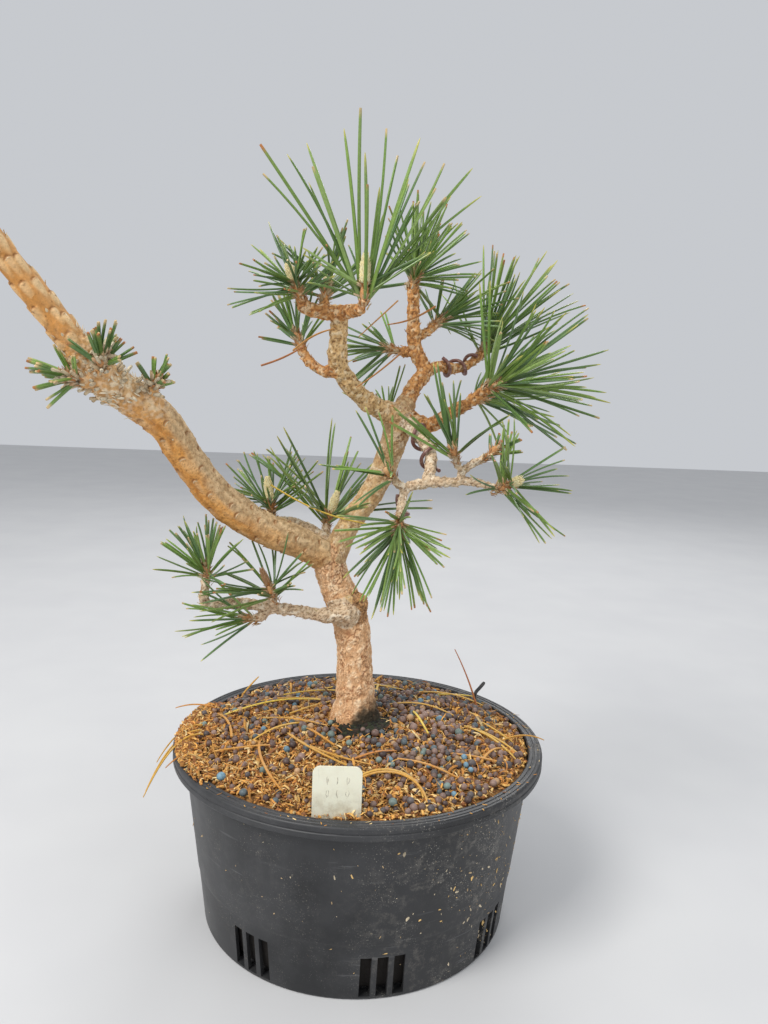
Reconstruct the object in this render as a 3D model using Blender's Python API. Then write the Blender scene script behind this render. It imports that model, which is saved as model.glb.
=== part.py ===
"""A young Japanese black pine in training, in its plastic growing pot.

Pieces: the pot, the potting mix, the tree's wood in one piece, its needle tufts and
buds, two training wires, the anchor wire's end and the plant label.
Metres, +Z up. The origin is the centre of the pot's foot, on the surface it stands on.
The tree leans away and its longest limb reaches out towards -X; -Y is the front.
"""

import math
import random

import bmesh
import bpy
from mathutils import Matrix, Vector

MM = 0.001
UP = Vector((0, 0, 1))
CLEARANCE = 0.3 * MM  # kept between any two pieces that touch

# Pot: a turned wall with a foot ring, an outward flange and a hanging lip.
POT_HEIGHT = 107.5 * MM
POT_MOUTH_DIAMETER = 212 * MM  # outside of the wall, under the flange
POT_FOOT_DIAMETER = 187 * MM
POT_WALL = 1.8 * MM
POT_FLOOR = 2.0 * MM
FLANGE_WIDTH = 6.5 * MM
LIP_HEIGHT = 7.5 * MM
EDGE_ROUND = 1.2 * MM
FOOT_RECESS = 1.2 * MM  # how far the floor stands above the foot ring and the middle pad
FOOT_RING_WIDTH = 9.0 * MM
FOOT_PAD_DIAMETER = 40 * MM
STEP_HEIGHT = 33 * MM  # where the wall steps in above the slots
STEP_DEPTH = 0.6 * MM
POT_SEGMENTS = 48

# Drainage: groups of upright slots round the foot, and round holes in the floor.
SLOT_GROUPS = 8
SLOTS_PER_GROUP = 3
SLOT_WIDTH = 6.0 * MM
SLOT_PITCH = 9.0 * MM
SLOT_BOTTOM = 2.2 * MM
SLOT_HEIGHT = 24 * MM
FIRST_SLOT_AZIMUTH = math.radians(10)
FLOOR_HOLES = 5
FLOOR_HOLE_DIAMETER = 11 * MM
FLOOR_HOLE_CIRCLE = 100 * MM

# Potting mix: it fills the pot and is mounded up to the trunk.
SOIL_CROWN = 9.5 * MM  # above the pot's rim, at the trunk
SOIL_EDGE_DROP = 2.0 * MM  # below the rim, at the wall
SOIL_SEGMENTS = 40

# Surface roots, spread evenly round the trunk's foot.
ROOT_COUNT = 5
ROOT_LENGTH = 46 * MM
ROOT_DEPTH = 50 * MM
ROOT_RADIUS = 7.5 * MM

# Plant label, stuck upright in the mix near the front of the pot.
LABEL_WIDTH = 25 * MM
LABEL_LENGTH = 50 * MM
LABEL_SHOWING = 26 * MM
LABEL_THICKNESS = 0.9 * MM
LABEL_CORNER = 4 * MM
LABEL_OFFSET = -10 * MM  # along X
LABEL_SETBACK = 1.5 * MM  # from the inside of the wall, where the label comes nearest to it

# Training wire, wound round the limbs, and the wire that ties the tree down.
WIRE_DIAMETER = 2.2 * MM
WIRE_PITCH = 15 * MM
WIRE_TURN_STEPS = 9
WIRE_LIFT = 1.12  # the helix's radius over the limb's, to ride over its bends
WIRE_SIDES = 6
ANCHOR_WIRE_DIAMETER = 2.4 * MM
ANCHOR_WIRE_DEPTH = 20 * MM  # below the mix at the wall
ANCHOR_WIRE_SETBACK = 3.6 * MM  # from the inside of the wall, at its lower end

# Shoots: a scaly core at the end of a limb, drawn out into needles.
CORE_RADIUS = 3.0 * MM
CORE_LENGTH = 7.0 * MM
NEEDLE_RADIUS = 0.8 * MM
NEEDLE_DROOP = 0.05  # of its length, at the tip
SLANT = math.radians(62)  # the most a needle leans from the face it grows out of
BUD_RADIUS = 2.1 * MM
BUD_SIDES = 8

# The trunk's girth, as a factor on every radius in LIMBS.
GIRTH = 1.0

# The tree's wood: each limb is a run of (x, y, height, radius) in millimetres, measured
# from the trunk's foot at the top of the mix.
LIMBS = {
    "trunk": [(2, 0, -14, 18), (0, 0, 0, 16.5), (0, 0, 12, 12.8), (-1, 1, 28, 11.6), (-2, 2, 46, 11),
              (-6, 3, 66, 11.2), (-15, 3, 86, 10.4), (-20, 2, 102, 9.6)],
    "old_scar": [(-5, 2, 66, 8), (-1, -1, 73, 6.6), (0, -3, 79, 4.6)],
    "sacrifice": [(-18, 2, 100, 9), (-37, -4, 111, 9.6), (-61, -12, 122, 9.7), (-82, -22, 139, 9.6),
                  (-97, -32, 161, 9.4), (-107, -42, 180, 9.5), (-121, -52, 193, 9.8),
                  (-136, -62, 205, 9), (-150, -70, 226, 7.1), (-163, -80, 246, 6.5),
                  (-176, -90, 266, 6.2), (-198, -103, 305, 5.6)],
    "leader": [(-18, 3, 98, 9), (-8, 8, 120, 7), (6, 12, 141, 7.4), (14, 12, 160, 7.9), (19, 8, 177, 8.2),
               (22, 4, 193, 8.6)],
    "crown_left": [(21, 4, 188, 7), (8, -2, 192, 6), (-4, -10, 200, 5.4), (-15, -18, 214, 5.4),
                   (-16, -24, 229, 4.9), (-15, -28, 246, 4.6)],
    "crown_shelf": [(-14, -28, 243, 4.4), (-24, -30, 243, 4), (-34, -34, 245, 3.6), (-37, -36, 252, 2.8)],
    "crown_shelf_back": [(-20, -28, 243, 3.6), (-24, -22, 247, 3), (-24, -20, 253, 2.4)],
    "apex_spur": [(-16, -28, 243, 4.4), (-8, -42, 243, 3.4), (-4, -54, 243, 2.8), (-2, -56, 247, 2.4)],
    "crown_hook": [(-15, -18, 212, 4.2), (-25, -20, 212, 3), (-34, -18, 219, 2.8), (-38, -16, 227, 2.5)],
    "centre": [(22, 4, 191, 6), (29, 10, 206, 4.6), (35, 14, 215, 4.4), (29, 16, 228, 4.4), (27, 14, 245, 4),
               (26, 10, 266, 3.2)],
    "centre_right": [(28, 15, 235, 3.4), (36, 22, 239, 2.8), (42, 26, 245, 2.4)],
    "centre_left": [(29, 15, 226, 3.4), (21, 24, 227, 2.8), (15, 26, 228, 2.4)],
    "right_upper": [(34, 14, 214, 4), (45, 22, 219, 3.5), (53, 30, 218, 3.2), (64, 38, 221, 2.9), (73, 42, 229, 2.5)],
    "right_lower": [(22, 6, 188, 6), (37, 0, 183, 4.8), (48, -8, 190, 4), (60, -16, 198, 3.5), (69, -24, 206, 2.9)],
    "right_lower_twig": [(47, -8, 189, 3), (57, -2, 194, 2.8), (67, 8, 200, 2.4)],
    "droop": [(24, 2, 186, 5), (32, -12, 177, 3.8), (38, -18, 169, 3.5), (38, -26, 159, 3.2), (36, -30, 151, 3)],
    "droop_left": [(37, -30, 152, 3), (25, -34, 149, 2.7), (22, -40, 140, 2.5), (21, -46, 131, 2.3)],
    "droop_left_spur": [(25, -34, 148, 2.6), (19, -39, 152, 2.2), (17, -41, 156, 1.9)],
    "droop_right": [(35, -30, 152, 3), (50, -32, 153, 2.6), (60, -34, 154, 2.4), (70, -36, 152, 2.2), (75, -40, 151, 2)],
    "droop_upper": [(54, -33, 153, 2.3), (56, -34, 160, 2.2), (64, -36, 166, 2.1), (70, -38, 170, 1.9)],
    "droop_upper_spur": [(56, -34, 159, 2.1), (52, -38, 163, 2), (50, -40, 168, 1.8)],
    "low_left": [(-3, -3, 70, 6), (-9, -9, 69, 5), (-20, -11, 68.5, 4.2), (-35, -9, 70, 3.5),
                 (-52, -10, 72, 3.6), (-70, -14, 75, 3.2), (-88, -20, 76, 3), (-89, -22, 86, 2.5),
                 (-88, -22, 93, 2.2)],
    "low_left_heel": [(-52, -10, 73, 3.4), (-57, -14, 68, 3), (-62, -15, 66, 2.2)],
    "low_left_spur": [(-50, -10, 72, 2.8), (-51, -15, 76, 2.4), (-50, -16, 80, 2.1)],
    "fork_twig": [(-18, 8, 106, 5), (-27, 18, 113, 3.4), (-41, 20, 119, 2.8), (-55, 18, 121, 2.5),
                  (-56, 16, 126, 2.2)],
    "fork_spur": [(-20, 10, 107, 4), (-22, 20, 114, 3), (-22, 23, 118, 2.4)],
    "back_spur": [(17, 10, 172, 3.4), (14, 22, 179, 2.6), (13, 28, 186, 2.2)],
    "elbow_spur": [(-112, -46, 184, 5), (-110, -54, 193, 3.4), (-109, -57, 199, 2.6)],
    "node_left": [(-134, -61, 204, 7), (-140, -69, 201.5, 4.4), (-142, -72, 201, 3)],
    "node_top": [(-135, -62, 205, 7), (-131, -69, 206, 4.4), (-130, -73, 208, 2.9)],
    "node_back": [(-135, -60, 205, 6), (-137, -51, 211, 3.6), (-139, -46, 215, 2.8)],
}

# Each shoot: its limb, the way it points, how many needles, their length in mm, and the
# least and most angle in degrees that they stand out from the shoot.
SHOOTS = {
    "needles_apex": ("apex_spur", (0.0, -0.05, 1.0), 24, 90, 3, 37),
    "needles_crown_left": ("crown_shelf", (-0.4, -0.25, 0.9), 22, 40, 10, 72),
    "needles_crown_back": ("crown_shelf_back", (0.1, 0.4, 0.9), 14, 42, 8, 60),
    "needles_crown_hook": ("crown_hook", (-0.4, 0.1, 0.9), 12, 34, 6, 55),
    "needles_centre_top": ("centre", (0.3, 0.0, 1.0), 28, 46, 4, 78),
    "needles_centre_right": ("centre_right", (0.8, 0.2, 0.55), 16, 46, 8, 60),
    "needles_centre_left": ("centre_left", (-0.8, 0.45, 0.2), 12, 42, 8, 62),
    "needles_right_upper": ("right_upper", (0.45, 0.0, 1.0), 20, 76, 5, 48),
    "needles_right_lower": ("right_lower", (0.85, -0.3, 0.35), 24, 64, 6, 54),
    "needles_right_rear": ("right_lower_twig", (0.9, 0.5, 0.1), 14, 60, 6, 45),
    "needles_droop_tip": ("droop_left", (0.0, -0.45, -1.0), 26, 45, 12, 92),
    "needles_droop_side": ("droop_left_spur", (-0.6, -0.5, 0.5), 7, 46, 10, 60),
    "needles_droop_right": ("droop_right", (0.85, -0.35, 0.45), 20, 42, 8, 72),
    "needles_droop_upper": ("droop_upper", (0.7, -0.1, 0.7), 6, 15, 10, 45),
    "needles_droop_middle": ("droop_upper_spur", (-0.35, -0.3, 0.9), 8, 56, 8, 42),
    "needles_low_left_tip": ("low_left", (-0.1, -0.1, 1.0), 16, 32, 8, 60),
    "needles_low_left_heel": ("low_left_heel", (-0.95, -0.15, 0.22), 8, 46, 6, 28),
    "needles_low_left_middle": ("low_left_spur", (-0.4, -0.2, 1.0), 12, 42, 10, 62),
    "needles_fork_left": ("fork_twig", (-0.15, 0.1, 1.0), 22, 46, 8, 58),
    "needles_fork_right": ("fork_spur", (0.1, 0.2, 1.0), 14, 62, 8, 42),
    "needles_trunk_back": ("back_spur", (-0.3, 0.7, 0.8), 8, 34, 8, 60),
    "needles_elbow": ("elbow_spur", (0.5, -0.2, 0.8), 8, 14, 10, 60),
    "needles_node_left": ("node_left", (-0.9, -0.25, 0.35), 12, 24, 10, 60),
    "needles_node_top": ("node_top", (0.25, -0.4, 0.9), 9, 19, 10, 50),
    "needles_node_back": ("node_back", (-0.3, 0.7, 0.6), 7, 16, 10, 60),
}

# Winter buds that stand up out of a shoot: the shoot and the bud's length in mm.
BUDS = {
    "bud_apex": ("needles_apex", 15),
    "bud_crown_left": ("needles_crown_left", 9),
    "bud_crown_back": ("needles_crown_back", 9),
    "bud_fork_left": ("needles_fork_left", 14),
    "bud_fork_right": ("needles_fork_right", 14),
    "bud_low_left": ("needles_low_left_middle", 11),
    "bud_droop_right": ("needles_droop_right", 6),
}

# Each training wire: its limb, its starting angle in degrees, and how far from the limb's
# two ends it starts and stops, in mm.
WIRES = {
    "training_wire_droop": ("droop", 200, 12, 9),
    "training_wire_droop_tip": ("droop_left", 20, 20, 3),
    "training_wire_right": ("right_upper", 90, 14, 6),
}

MATERIALS = {
    "black_plastic": ((0.03, 0.031, 0.034), 0.5, 0.0),
    "potting_mix": ((0.30, 0.16, 0.06), 0.95, 0.0),
    "pine_bark": ((0.52, 0.33, 0.18), 0.85, 0.0),
    "needle_green": ((0.10, 0.22, 0.05), 0.45, 0.0),
    "bud_scale": ((0.62, 0.50, 0.27), 0.7, 0.0),
    "brown_wire": ((0.30, 0.15, 0.12), 0.4, 0.8),
    "black_wire": ((0.02, 0.02, 0.02), 0.5, 0.0),
    "label_plastic": ((0.88, 0.87, 0.76), 0.45, 0.0),
}

SOIL_TOP = POT_HEIGHT + SOIL_CROWN
SOIL_EDGE = POT_HEIGHT - SOIL_EDGE_DROP
TREE_FOOT = Vector((-3 * MM, 0, SOIL_TOP))
FLOOR_TOP = FOOT_RECESS + POT_FLOOR


def clear_scene():
    for obj in list(bpy.data.objects):
        bpy.data.objects.remove(obj, do_unlink=True)


def make_materials():
    for name, (colour, roughness, metallic) in MATERIALS.items():
        material = bpy.data.materials.new(name)
        material.use_nodes = True
        shader = material.node_tree.nodes["Principled BSDF"]
        shader.inputs["Base Color"].default_value = (*colour, 1)
        shader.inputs["Roughness"].default_value = roughness
        shader.inputs["Metallic"].default_value = metallic


def add_object(name, bm, material, smooth=True):
    """Turns a bmesh into a named object that is linked to the scene."""
    bmesh.ops.recalc_face_normals(bm, faces=bm.faces)
    mesh = bpy.data.meshes.new(name)
    bm.to_mesh(mesh)
    bm.free()
    if smooth:
        mesh.shade_smooth()
        mesh.set_sharp_from_angle(angle=math.radians(40))
    mesh.materials.append(bpy.data.materials[material])
    obj = bpy.data.objects.new(name, mesh)
    bpy.context.scene.collection.objects.link(obj)
    return obj


def as_cutters(name, objects):
    """Moves helper objects into a collection of their own, out of the render."""
    group = bpy.data.collections.new(name)
    bpy.context.scene.collection.children.link(group)
    for obj in objects:
        bpy.context.scene.collection.objects.unlink(obj)
        group.objects.link(obj)
        obj.hide_render = True
        obj.display_type = "WIRE"
    return group


def combine(obj, operation, group):
    modifier = obj.modifiers.new(operation.lower(), "BOOLEAN")
    modifier.operation = operation
    modifier.operand_type = "COLLECTION"
    modifier.collection = group
    modifier.solver = "EXACT"


# ---------------------------------------------------------------- tubes


def smooth_path(points, step):
    """Samples a Catmull-Rom curve through 4-D points (x, y, z, radius)."""
    knots = [Vector(p) for p in points]
    knots = [2 * knots[0] - knots[1], *knots, 2 * knots[-1] - knots[-2]]
    samples = []
    for a, b, c, d in zip(knots, knots[1:], knots[2:], knots[3:]):
        count = max(1, round((c - b).xyz.length / step))
        for i in range(count):
            t = i / count
            samples.append(0.5 * (2 * b + (c - a) * t + (2 * a - 5 * b + 4 * c - d) * t**2
                                  + (3 * b - a - 3 * c + d) * t**3))
    return [*samples, knots[-2]]


def frames_along(centres):
    """A right-handed pair of normals at each centre, carried along without twisting."""
    tangents = [(centres[min(i + 1, len(centres) - 1)] - centres[max(i - 1, 0)]).normalized()
                for i in range(len(centres))]
    side = tangents[0].orthogonal().normalized()
    frames = []
    for tangent in tangents:
        side = (side - tangent * side.dot(tangent)).normalized()
        frames.append((side, tangent.cross(side)))
    return frames


def tube(bm, samples, sides, grow=0.0):
    """Adds a closed tube through samples (x, y, z, radius) to bm, larger all round by grow."""
    centres = [s.xyz for s in samples]
    centres[0] -= (centres[1] - centres[0]).normalized() * grow
    centres[-1] += (centres[-1] - centres[-2]).normalized() * grow
    rings = []
    for sample, centre, (u, v) in zip(samples, centres, frames_along(centres)):
        ring = []
        for i in range(sides):
            angle = math.tau * i / sides
            offset = (u * math.cos(angle) + v * math.sin(angle)) * (sample.w + grow)
            ring.append(bm.verts.new(centre + offset))
        rings.append(ring)
    for low, high in zip(rings, rings[1:]):
        for i in range(sides):
            j = (i + 1) % sides
            bm.faces.new((low[i], low[j], high[j], high[i]))
    bm.faces.new(reversed(rings[0]))
    bm.faces.new(rings[-1])


# ---------------------------------------------------------------- pot


def wall_radius(height):
    """Outside radius of the plain tapered wall at a height."""
    share = height / (POT_HEIGHT - POT_WALL)
    return (POT_FOOT_DIAMETER + (POT_MOUTH_DIAMETER - POT_FOOT_DIAMETER) * share) / 2


def turned(bm, profile, segments):
    """Revolves a closed or axis-to-axis outline of (radius, height) about Z."""
    points = [bm.verts.new((radius, 0, height)) for radius, height in profile]
    edges = [bm.edges.new(pair) for pair in zip(points, points[1:])]
    bmesh.ops.spin(bm, geom=points + edges, axis=UP, cent=(0, 0, 0), angle=math.tau,
                   steps=segments, use_merge=False)
    bmesh.ops.remove_doubles(bm, verts=bm.verts, dist=MM / 100)


def slot_cutters():
    reach = POT_WALL * 8
    cutters = []
    for group in range(SLOT_GROUPS):
        for slot in range(SLOTS_PER_GROUP):
            azimuth = FIRST_SLOT_AZIMUTH + math.tau * group / SLOT_GROUPS
            shift = (slot - (SLOTS_PER_GROUP - 1) / 2) * SLOT_PITCH
            bm = bmesh.new()
            bmesh.ops.create_cube(bm, size=1)
            middle = (wall_radius(SLOT_BOTTOM), shift, SLOT_BOTTOM + SLOT_HEIGHT / 2)
            bmesh.ops.transform(bm, verts=bm.verts, matrix=Matrix.Rotation(azimuth, 4, "Z")
                                @ Matrix.Translation(middle)
                                @ Matrix.Diagonal((reach, SLOT_WIDTH, SLOT_HEIGHT, 1)))
            cutters.append(add_object(f"cut_slot_{group}_{slot}", bm, "black_plastic", smooth=False))
    return cutters


def floor_hole_cutters():
    cutters = []
    for hole in range(FLOOR_HOLES):
        azimuth = math.tau * hole / FLOOR_HOLES
        bm = bmesh.new()
        bmesh.ops.create_cone(bm, cap_ends=True, segments=12, radius1=FLOOR_HOLE_DIAMETER / 2,
                              radius2=FLOOR_HOLE_DIAMETER / 2, depth=POT_FLOOR * 4)
        middle = Vector((FLOOR_HOLE_CIRCLE / 2, 0, FOOT_RECESS + POT_FLOOR / 2))
        bmesh.ops.transform(bm, verts=bm.verts,
                            matrix=Matrix.Rotation(azimuth, 4, "Z") @ Matrix.Translation(middle))
        cutters.append(add_object(f"cut_floor_hole_{hole}", bm, "black_plastic", smooth=False))
    return cutters


def build_pot():
    rim = POT_MOUTH_DIAMETER / 2 + FLANGE_WIDTH
    foot = POT_FOOT_DIAMETER / 2
    under = POT_HEIGHT - POT_WALL
    profile = [
        (0, FLOOR_TOP),
        (wall_radius(FLOOR_TOP) - POT_WALL - EDGE_ROUND, FLOOR_TOP),
        (wall_radius(FLOOR_TOP) - POT_WALL - STEP_DEPTH, FLOOR_TOP + EDGE_ROUND),
        (wall_radius(STEP_HEIGHT) - POT_WALL - STEP_DEPTH, STEP_HEIGHT),
        (wall_radius(under) - POT_WALL, POT_HEIGHT - EDGE_ROUND),
        (wall_radius(under) - POT_WALL + EDGE_ROUND, POT_HEIGHT),
        (rim - EDGE_ROUND, POT_HEIGHT),
        (rim, POT_HEIGHT - EDGE_ROUND),
        (rim, POT_HEIGHT - LIP_HEIGHT),
        (rim - POT_WALL, POT_HEIGHT - LIP_HEIGHT),
        (rim - POT_WALL, under),
        (wall_radius(under), under),
        (wall_radius(STEP_HEIGHT), STEP_HEIGHT + STEP_DEPTH),
        (wall_radius(STEP_HEIGHT) - STEP_DEPTH, STEP_HEIGHT),
        (foot, EDGE_ROUND),
        (foot - EDGE_ROUND, 0),
        (foot - FOOT_RING_WIDTH, 0),
        (foot - FOOT_RING_WIDTH - EDGE_ROUND, FOOT_RECESS),
        (FOOT_PAD_DIAMETER / 2 + EDGE_ROUND, FOOT_RECESS),
        (FOOT_PAD_DIAMETER / 2, 0),
        (0, 0),
    ]
    bm = bmesh.new()
    turned(bm, profile, POT_SEGMENTS)
    pot = add_object("pot", bm, "black_plastic")
    cutters = as_cutters("pot_cutters", slot_cutters() + floor_hole_cutters())
    combine(pot, "DIFFERENCE", cutters)


# ---------------------------------------------------------------- wood


def limb_points(name):
    """A limb's (x, y, z, radius) points in metres, in the part's own frame."""
    return [Vector((*(TREE_FOOT + Vector((x, y, z)) * MM), radius * GIRTH * MM))
            for x, y, z, radius in LIMBS[name]]


def limb_sides(points):
    return 10 if points[0].w > 8 * MM else 7


def limb_samples(points):
    return smooth_path(points, step=max(9 * MM, 1.3 * points[0].w))


def root_points(index):
    """A root leaves the trunk's foot sideways and then dives."""
    azimuth = math.tau * index / ROOT_COUNT + 0.3
    out = Vector((math.cos(azimuth), math.sin(azimuth), 0))
    reach = (0, 0.4, 0.8, 1)
    depth = (0.06, 0.2, 0.6, 1)
    radius = (1, 0.7, 0.45, 0.25)
    return [Vector((*(TREE_FOOT + out * r * ROOT_LENGTH - UP * d * ROOT_DEPTH), w * ROOT_RADIUS))
            for r, d, w in zip(reach, depth, radius)]


def below_ground(points, grow, name):
    bm = bmesh.new()
    tube(bm, limb_samples(points), limb_sides(points), grow)
    return add_object(name, bm, "pine_bark", smooth=False)


def build_wood():
    pieces = []
    for name in LIMBS:
        points = limb_points(name)
        bm = bmesh.new()
        tube(bm, limb_samples(points), limb_sides(points))
        pieces.append(add_object(name, bm, "pine_bark"))
    pieces += [below_ground(root_points(i), 0, f"root_{i}") for i in range(ROOT_COUNT)]
    wood = pieces.pop(0)
    wood.name = "trunk_and_limbs"
    combine(wood, "UNION", as_cutters("limbs", pieces))


# ---------------------------------------------------------------- potting mix


def soil_surface(radius):
    """Height of the mix at a distance from the pot's axis."""
    inside = wall_radius(SOIL_EDGE) - POT_WALL
    return SOIL_TOP - (SOIL_TOP - SOIL_EDGE) * (radius / inside) ** 1.6


def build_soil():
    gap = POT_WALL + CLEARANCE
    floor = FLOOR_TOP + CLEARANCE
    edge = wall_radius(SOIL_EDGE) - gap - STEP_DEPTH
    profile = [
        (0, floor),
        (wall_radius(floor) - gap - EDGE_ROUND, floor),
        (wall_radius(floor) - gap - STEP_DEPTH, floor + EDGE_ROUND),
        *((edge * share, soil_surface(edge * share)) for share in (1, 0.85, 0.65, 0.4, 0.2, 0)),
    ]
    bm = bmesh.new()
    turned(bm, profile, SOIL_SEGMENTS)
    soil = add_object("potting_mix", bm, "potting_mix")
    cutters = [below_ground(root_points(i), CLEARANCE, f"cut_root_{i}") for i in range(ROOT_COUNT)]
    cutters.append(below_ground(limb_points("trunk"), CLEARANCE, "cut_trunk"))
    bm = bmesh.new()
    add_label_shape(bm, CLEARANCE)
    cutters.append(add_object("cut_label", bm, "label_plastic", smooth=False))
    bm = bmesh.new()
    tube(bm, smooth_path(anchor_points(), 6 * MM), WIRE_SIDES, CLEARANCE)
    cutters.append(add_object("cut_anchor", bm, "black_wire", smooth=False))
    combine(soil, "DIFFERENCE", as_cutters("soil_cutters", cutters))


# ---------------------------------------------------------------- label and wires


def label_foot():
    """Where the label meets the mix: as near the wall as its point and its shoulders allow."""
    distances = []
    for across, below in ((0, LABEL_LENGTH), (LABEL_WIDTH / 2, LABEL_LENGTH - LABEL_WIDTH / 2)):
        inside = wall_radius(SOIL_EDGE + LABEL_SHOWING - below) - POT_WALL
        reach = inside - LABEL_SETBACK - LABEL_THICKNESS / 2
        distances.append(math.sqrt(reach**2 - (abs(LABEL_OFFSET) + across) ** 2))
    distance = min(distances)
    return Vector((LABEL_OFFSET, -distance, soil_surface(math.hypot(LABEL_OFFSET, distance))))


def add_label_shape(bm, grow=0.0):
    """A flat strip with round top corners and a pointed foot, facing -Y."""
    half = LABEL_WIDTH / 2 + grow
    top = LABEL_SHOWING + grow
    bottom = LABEL_SHOWING - LABEL_LENGTH - grow
    outline = [(0, bottom), (half, bottom + LABEL_WIDTH / 2)]
    for centre, start in (((half - LABEL_CORNER, top - LABEL_CORNER), 0),
                          ((LABEL_CORNER - half, top - LABEL_CORNER), math.pi / 2)):
        for i in range(4):
            angle = start + math.pi / 2 * i / 3
            outline.append((centre[0] + LABEL_CORNER * math.cos(angle),
                            centre[1] + LABEL_CORNER * math.sin(angle)))
    outline.append((-half, bottom + LABEL_WIDTH / 2))
    foot = label_foot()
    thickness = LABEL_THICKNESS + 2 * grow
    face = bm.faces.new([bm.verts.new(foot + Vector((x, -thickness / 2, z))) for x, z in outline])
    moved = bmesh.ops.extrude_face_region(bm, geom=[face])["geom"]
    bmesh.ops.translate(bm, vec=(0, thickness, 0),
                        verts=[v for v in moved if isinstance(v, bmesh.types.BMVert)])
    bmesh.ops.recalc_face_normals(bm, faces=bm.faces)


def build_label():
    bm = bmesh.new()
    add_label_shape(bm)
    add_object("plant_label", bm, "label_plastic", smooth=False)


def anchor_points():
    """The tie-down wire's end comes up at the wall, right and rear, and hooks over."""
    azimuth = math.radians(36)
    out = Vector((math.cos(azimuth), math.sin(azimuth), 0))
    start = wall_radius(SOIL_EDGE - ANCHOR_WIRE_DEPTH) - POT_WALL - ANCHOR_WIRE_SETBACK
    radius = ANCHOR_WIRE_DIAMETER / 2
    shape = ((0, -ANCHOR_WIRE_DEPTH / MM), (0, 4), (1, 9), (5, 12), (9, 15))
    return [Vector((*(out * (start + r * MM) + UP * (SOIL_EDGE + z * MM)), radius)) for r, z in shape]


def build_anchor_wire():
    bm = bmesh.new()
    tube(bm, smooth_path(anchor_points(), 6 * MM), WIRE_SIDES)
    add_object("anchor_wire_end", bm, "black_wire")


def wire_samples(limb, start_angle, skip, stop):
    """A helix that lies on the limb, CLEARANCE off the bark."""
    along = limb_samples(limb_points(limb))
    total = sum((b - a).xyz.length for a, b in zip(along, along[1:]))
    samples = []
    travelled = 0.0
    for a, b, (u, v) in zip(along, along[1:], frames_along([s.xyz for s in along])):
        span = (b - a).xyz.length
        count = max(1, round(span / (WIRE_PITCH / WIRE_TURN_STEPS)))
        for i in range(count):
            here = travelled + span * i / count
            if skip * MM <= here <= total - stop * MM:
                sample = a.lerp(b, i / count)
                angle = math.radians(start_angle) + math.tau * here / WIRE_PITCH
                offset = sample.w * WIRE_LIFT + CLEARANCE + WIRE_DIAMETER / 2
                centre = sample.xyz + (u * math.cos(angle) + v * math.sin(angle)) * offset
                samples.append(Vector((*centre, WIRE_DIAMETER / 2)))
        travelled += span
    return samples


def build_wires():
    for name, winding in WIRES.items():
        bm = bmesh.new()
        tube(bm, wire_samples(*winding), WIRE_SIDES)
        add_object(name, bm, "brown_wire")


# ---------------------------------------------------------------- shoots


class Obstacles:
    """Every stretch of every piece grown so far, as capsules (start, end, radius)."""

    def __init__(self):
        self.capsules = []

    def add(self, samples, owner):
        for a, b in zip(samples, samples[1:]):
            self.capsules.append((a.xyz, b.xyz, max(a.w, b.w), owner))

    def blocked(self, start, end, radius, owner):
        return any(
            who != owner and segment_distance(start, end, a, b) < radius + r + 2 * CLEARANCE
            for a, b, r, who in self.capsules
        )


def segment_distance(p, q, a, b):
    """Least distance between the segments p-q and a-b."""
    d1, d2, r = q - p, b - a, p - a
    aa, ee, f = d1.length_squared, d2.length_squared, d2.dot(r)
    c, bb = d1.dot(r), d1.dot(d2)
    denominator = aa * ee - bb * bb
    s = min(max((bb * f - c * ee) / denominator, 0), 1) if denominator > 1e-18 else 0
    t = min(max((bb * s + f) / ee, 0), 1)
    s = min(max((bb * t - c) / aa, 0), 1)
    return (p + d1 * s - a - d2 * t).length


def shoot_frame(name):
    """Where a shoot's core starts, just off its limb's end, and the way it points."""
    limb, direction, *_ = SHOOTS[name]
    tip = limb_points(limb)[-1]
    axis = Vector(direction).normalized()
    along = (tip.xyz - limb_points(limb)[-2].xyz).normalized()
    lift = CLEARANCE + tip.w * math.sqrt(max(0, 1 - axis.dot(along) ** 2))
    return tip.xyz + axis * lift, axis


def bud_samples(name):
    shoot, length = BUDS[name]
    base, axis = shoot_frame(shoot)
    foot = base + axis * (CORE_LENGTH + CLEARANCE)
    shape = ((0, 0.55), (0.2, 0.9), (0.5, 1), (0.8, 0.7), (1, 0.15))
    return [Vector((*(foot + axis * share * length * MM), BUD_RADIUS * width)) for share, width in shape]


def build_buds(obstacles):
    for name in BUDS:
        samples = bud_samples(name)
        bm = bmesh.new()
        tube(bm, samples, BUD_SIDES)
        add_object(name, bm, "bud_scale")
        obstacles.add(samples, name)


def draw_out(bm, face, stations):
    """Draws a face out through (point, width) stations, so it grows into a needle."""
    for point, width in stations:
        face = bmesh.ops.extrude_discrete_faces(bm, faces=[face])["faces"][0]
        centre = face.calc_center_median()
        reach = max((v.co - centre).length for v in face.verts)
        for vert in face.verts:
            vert.co = point + (vert.co - centre) * (width / reach)


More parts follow.
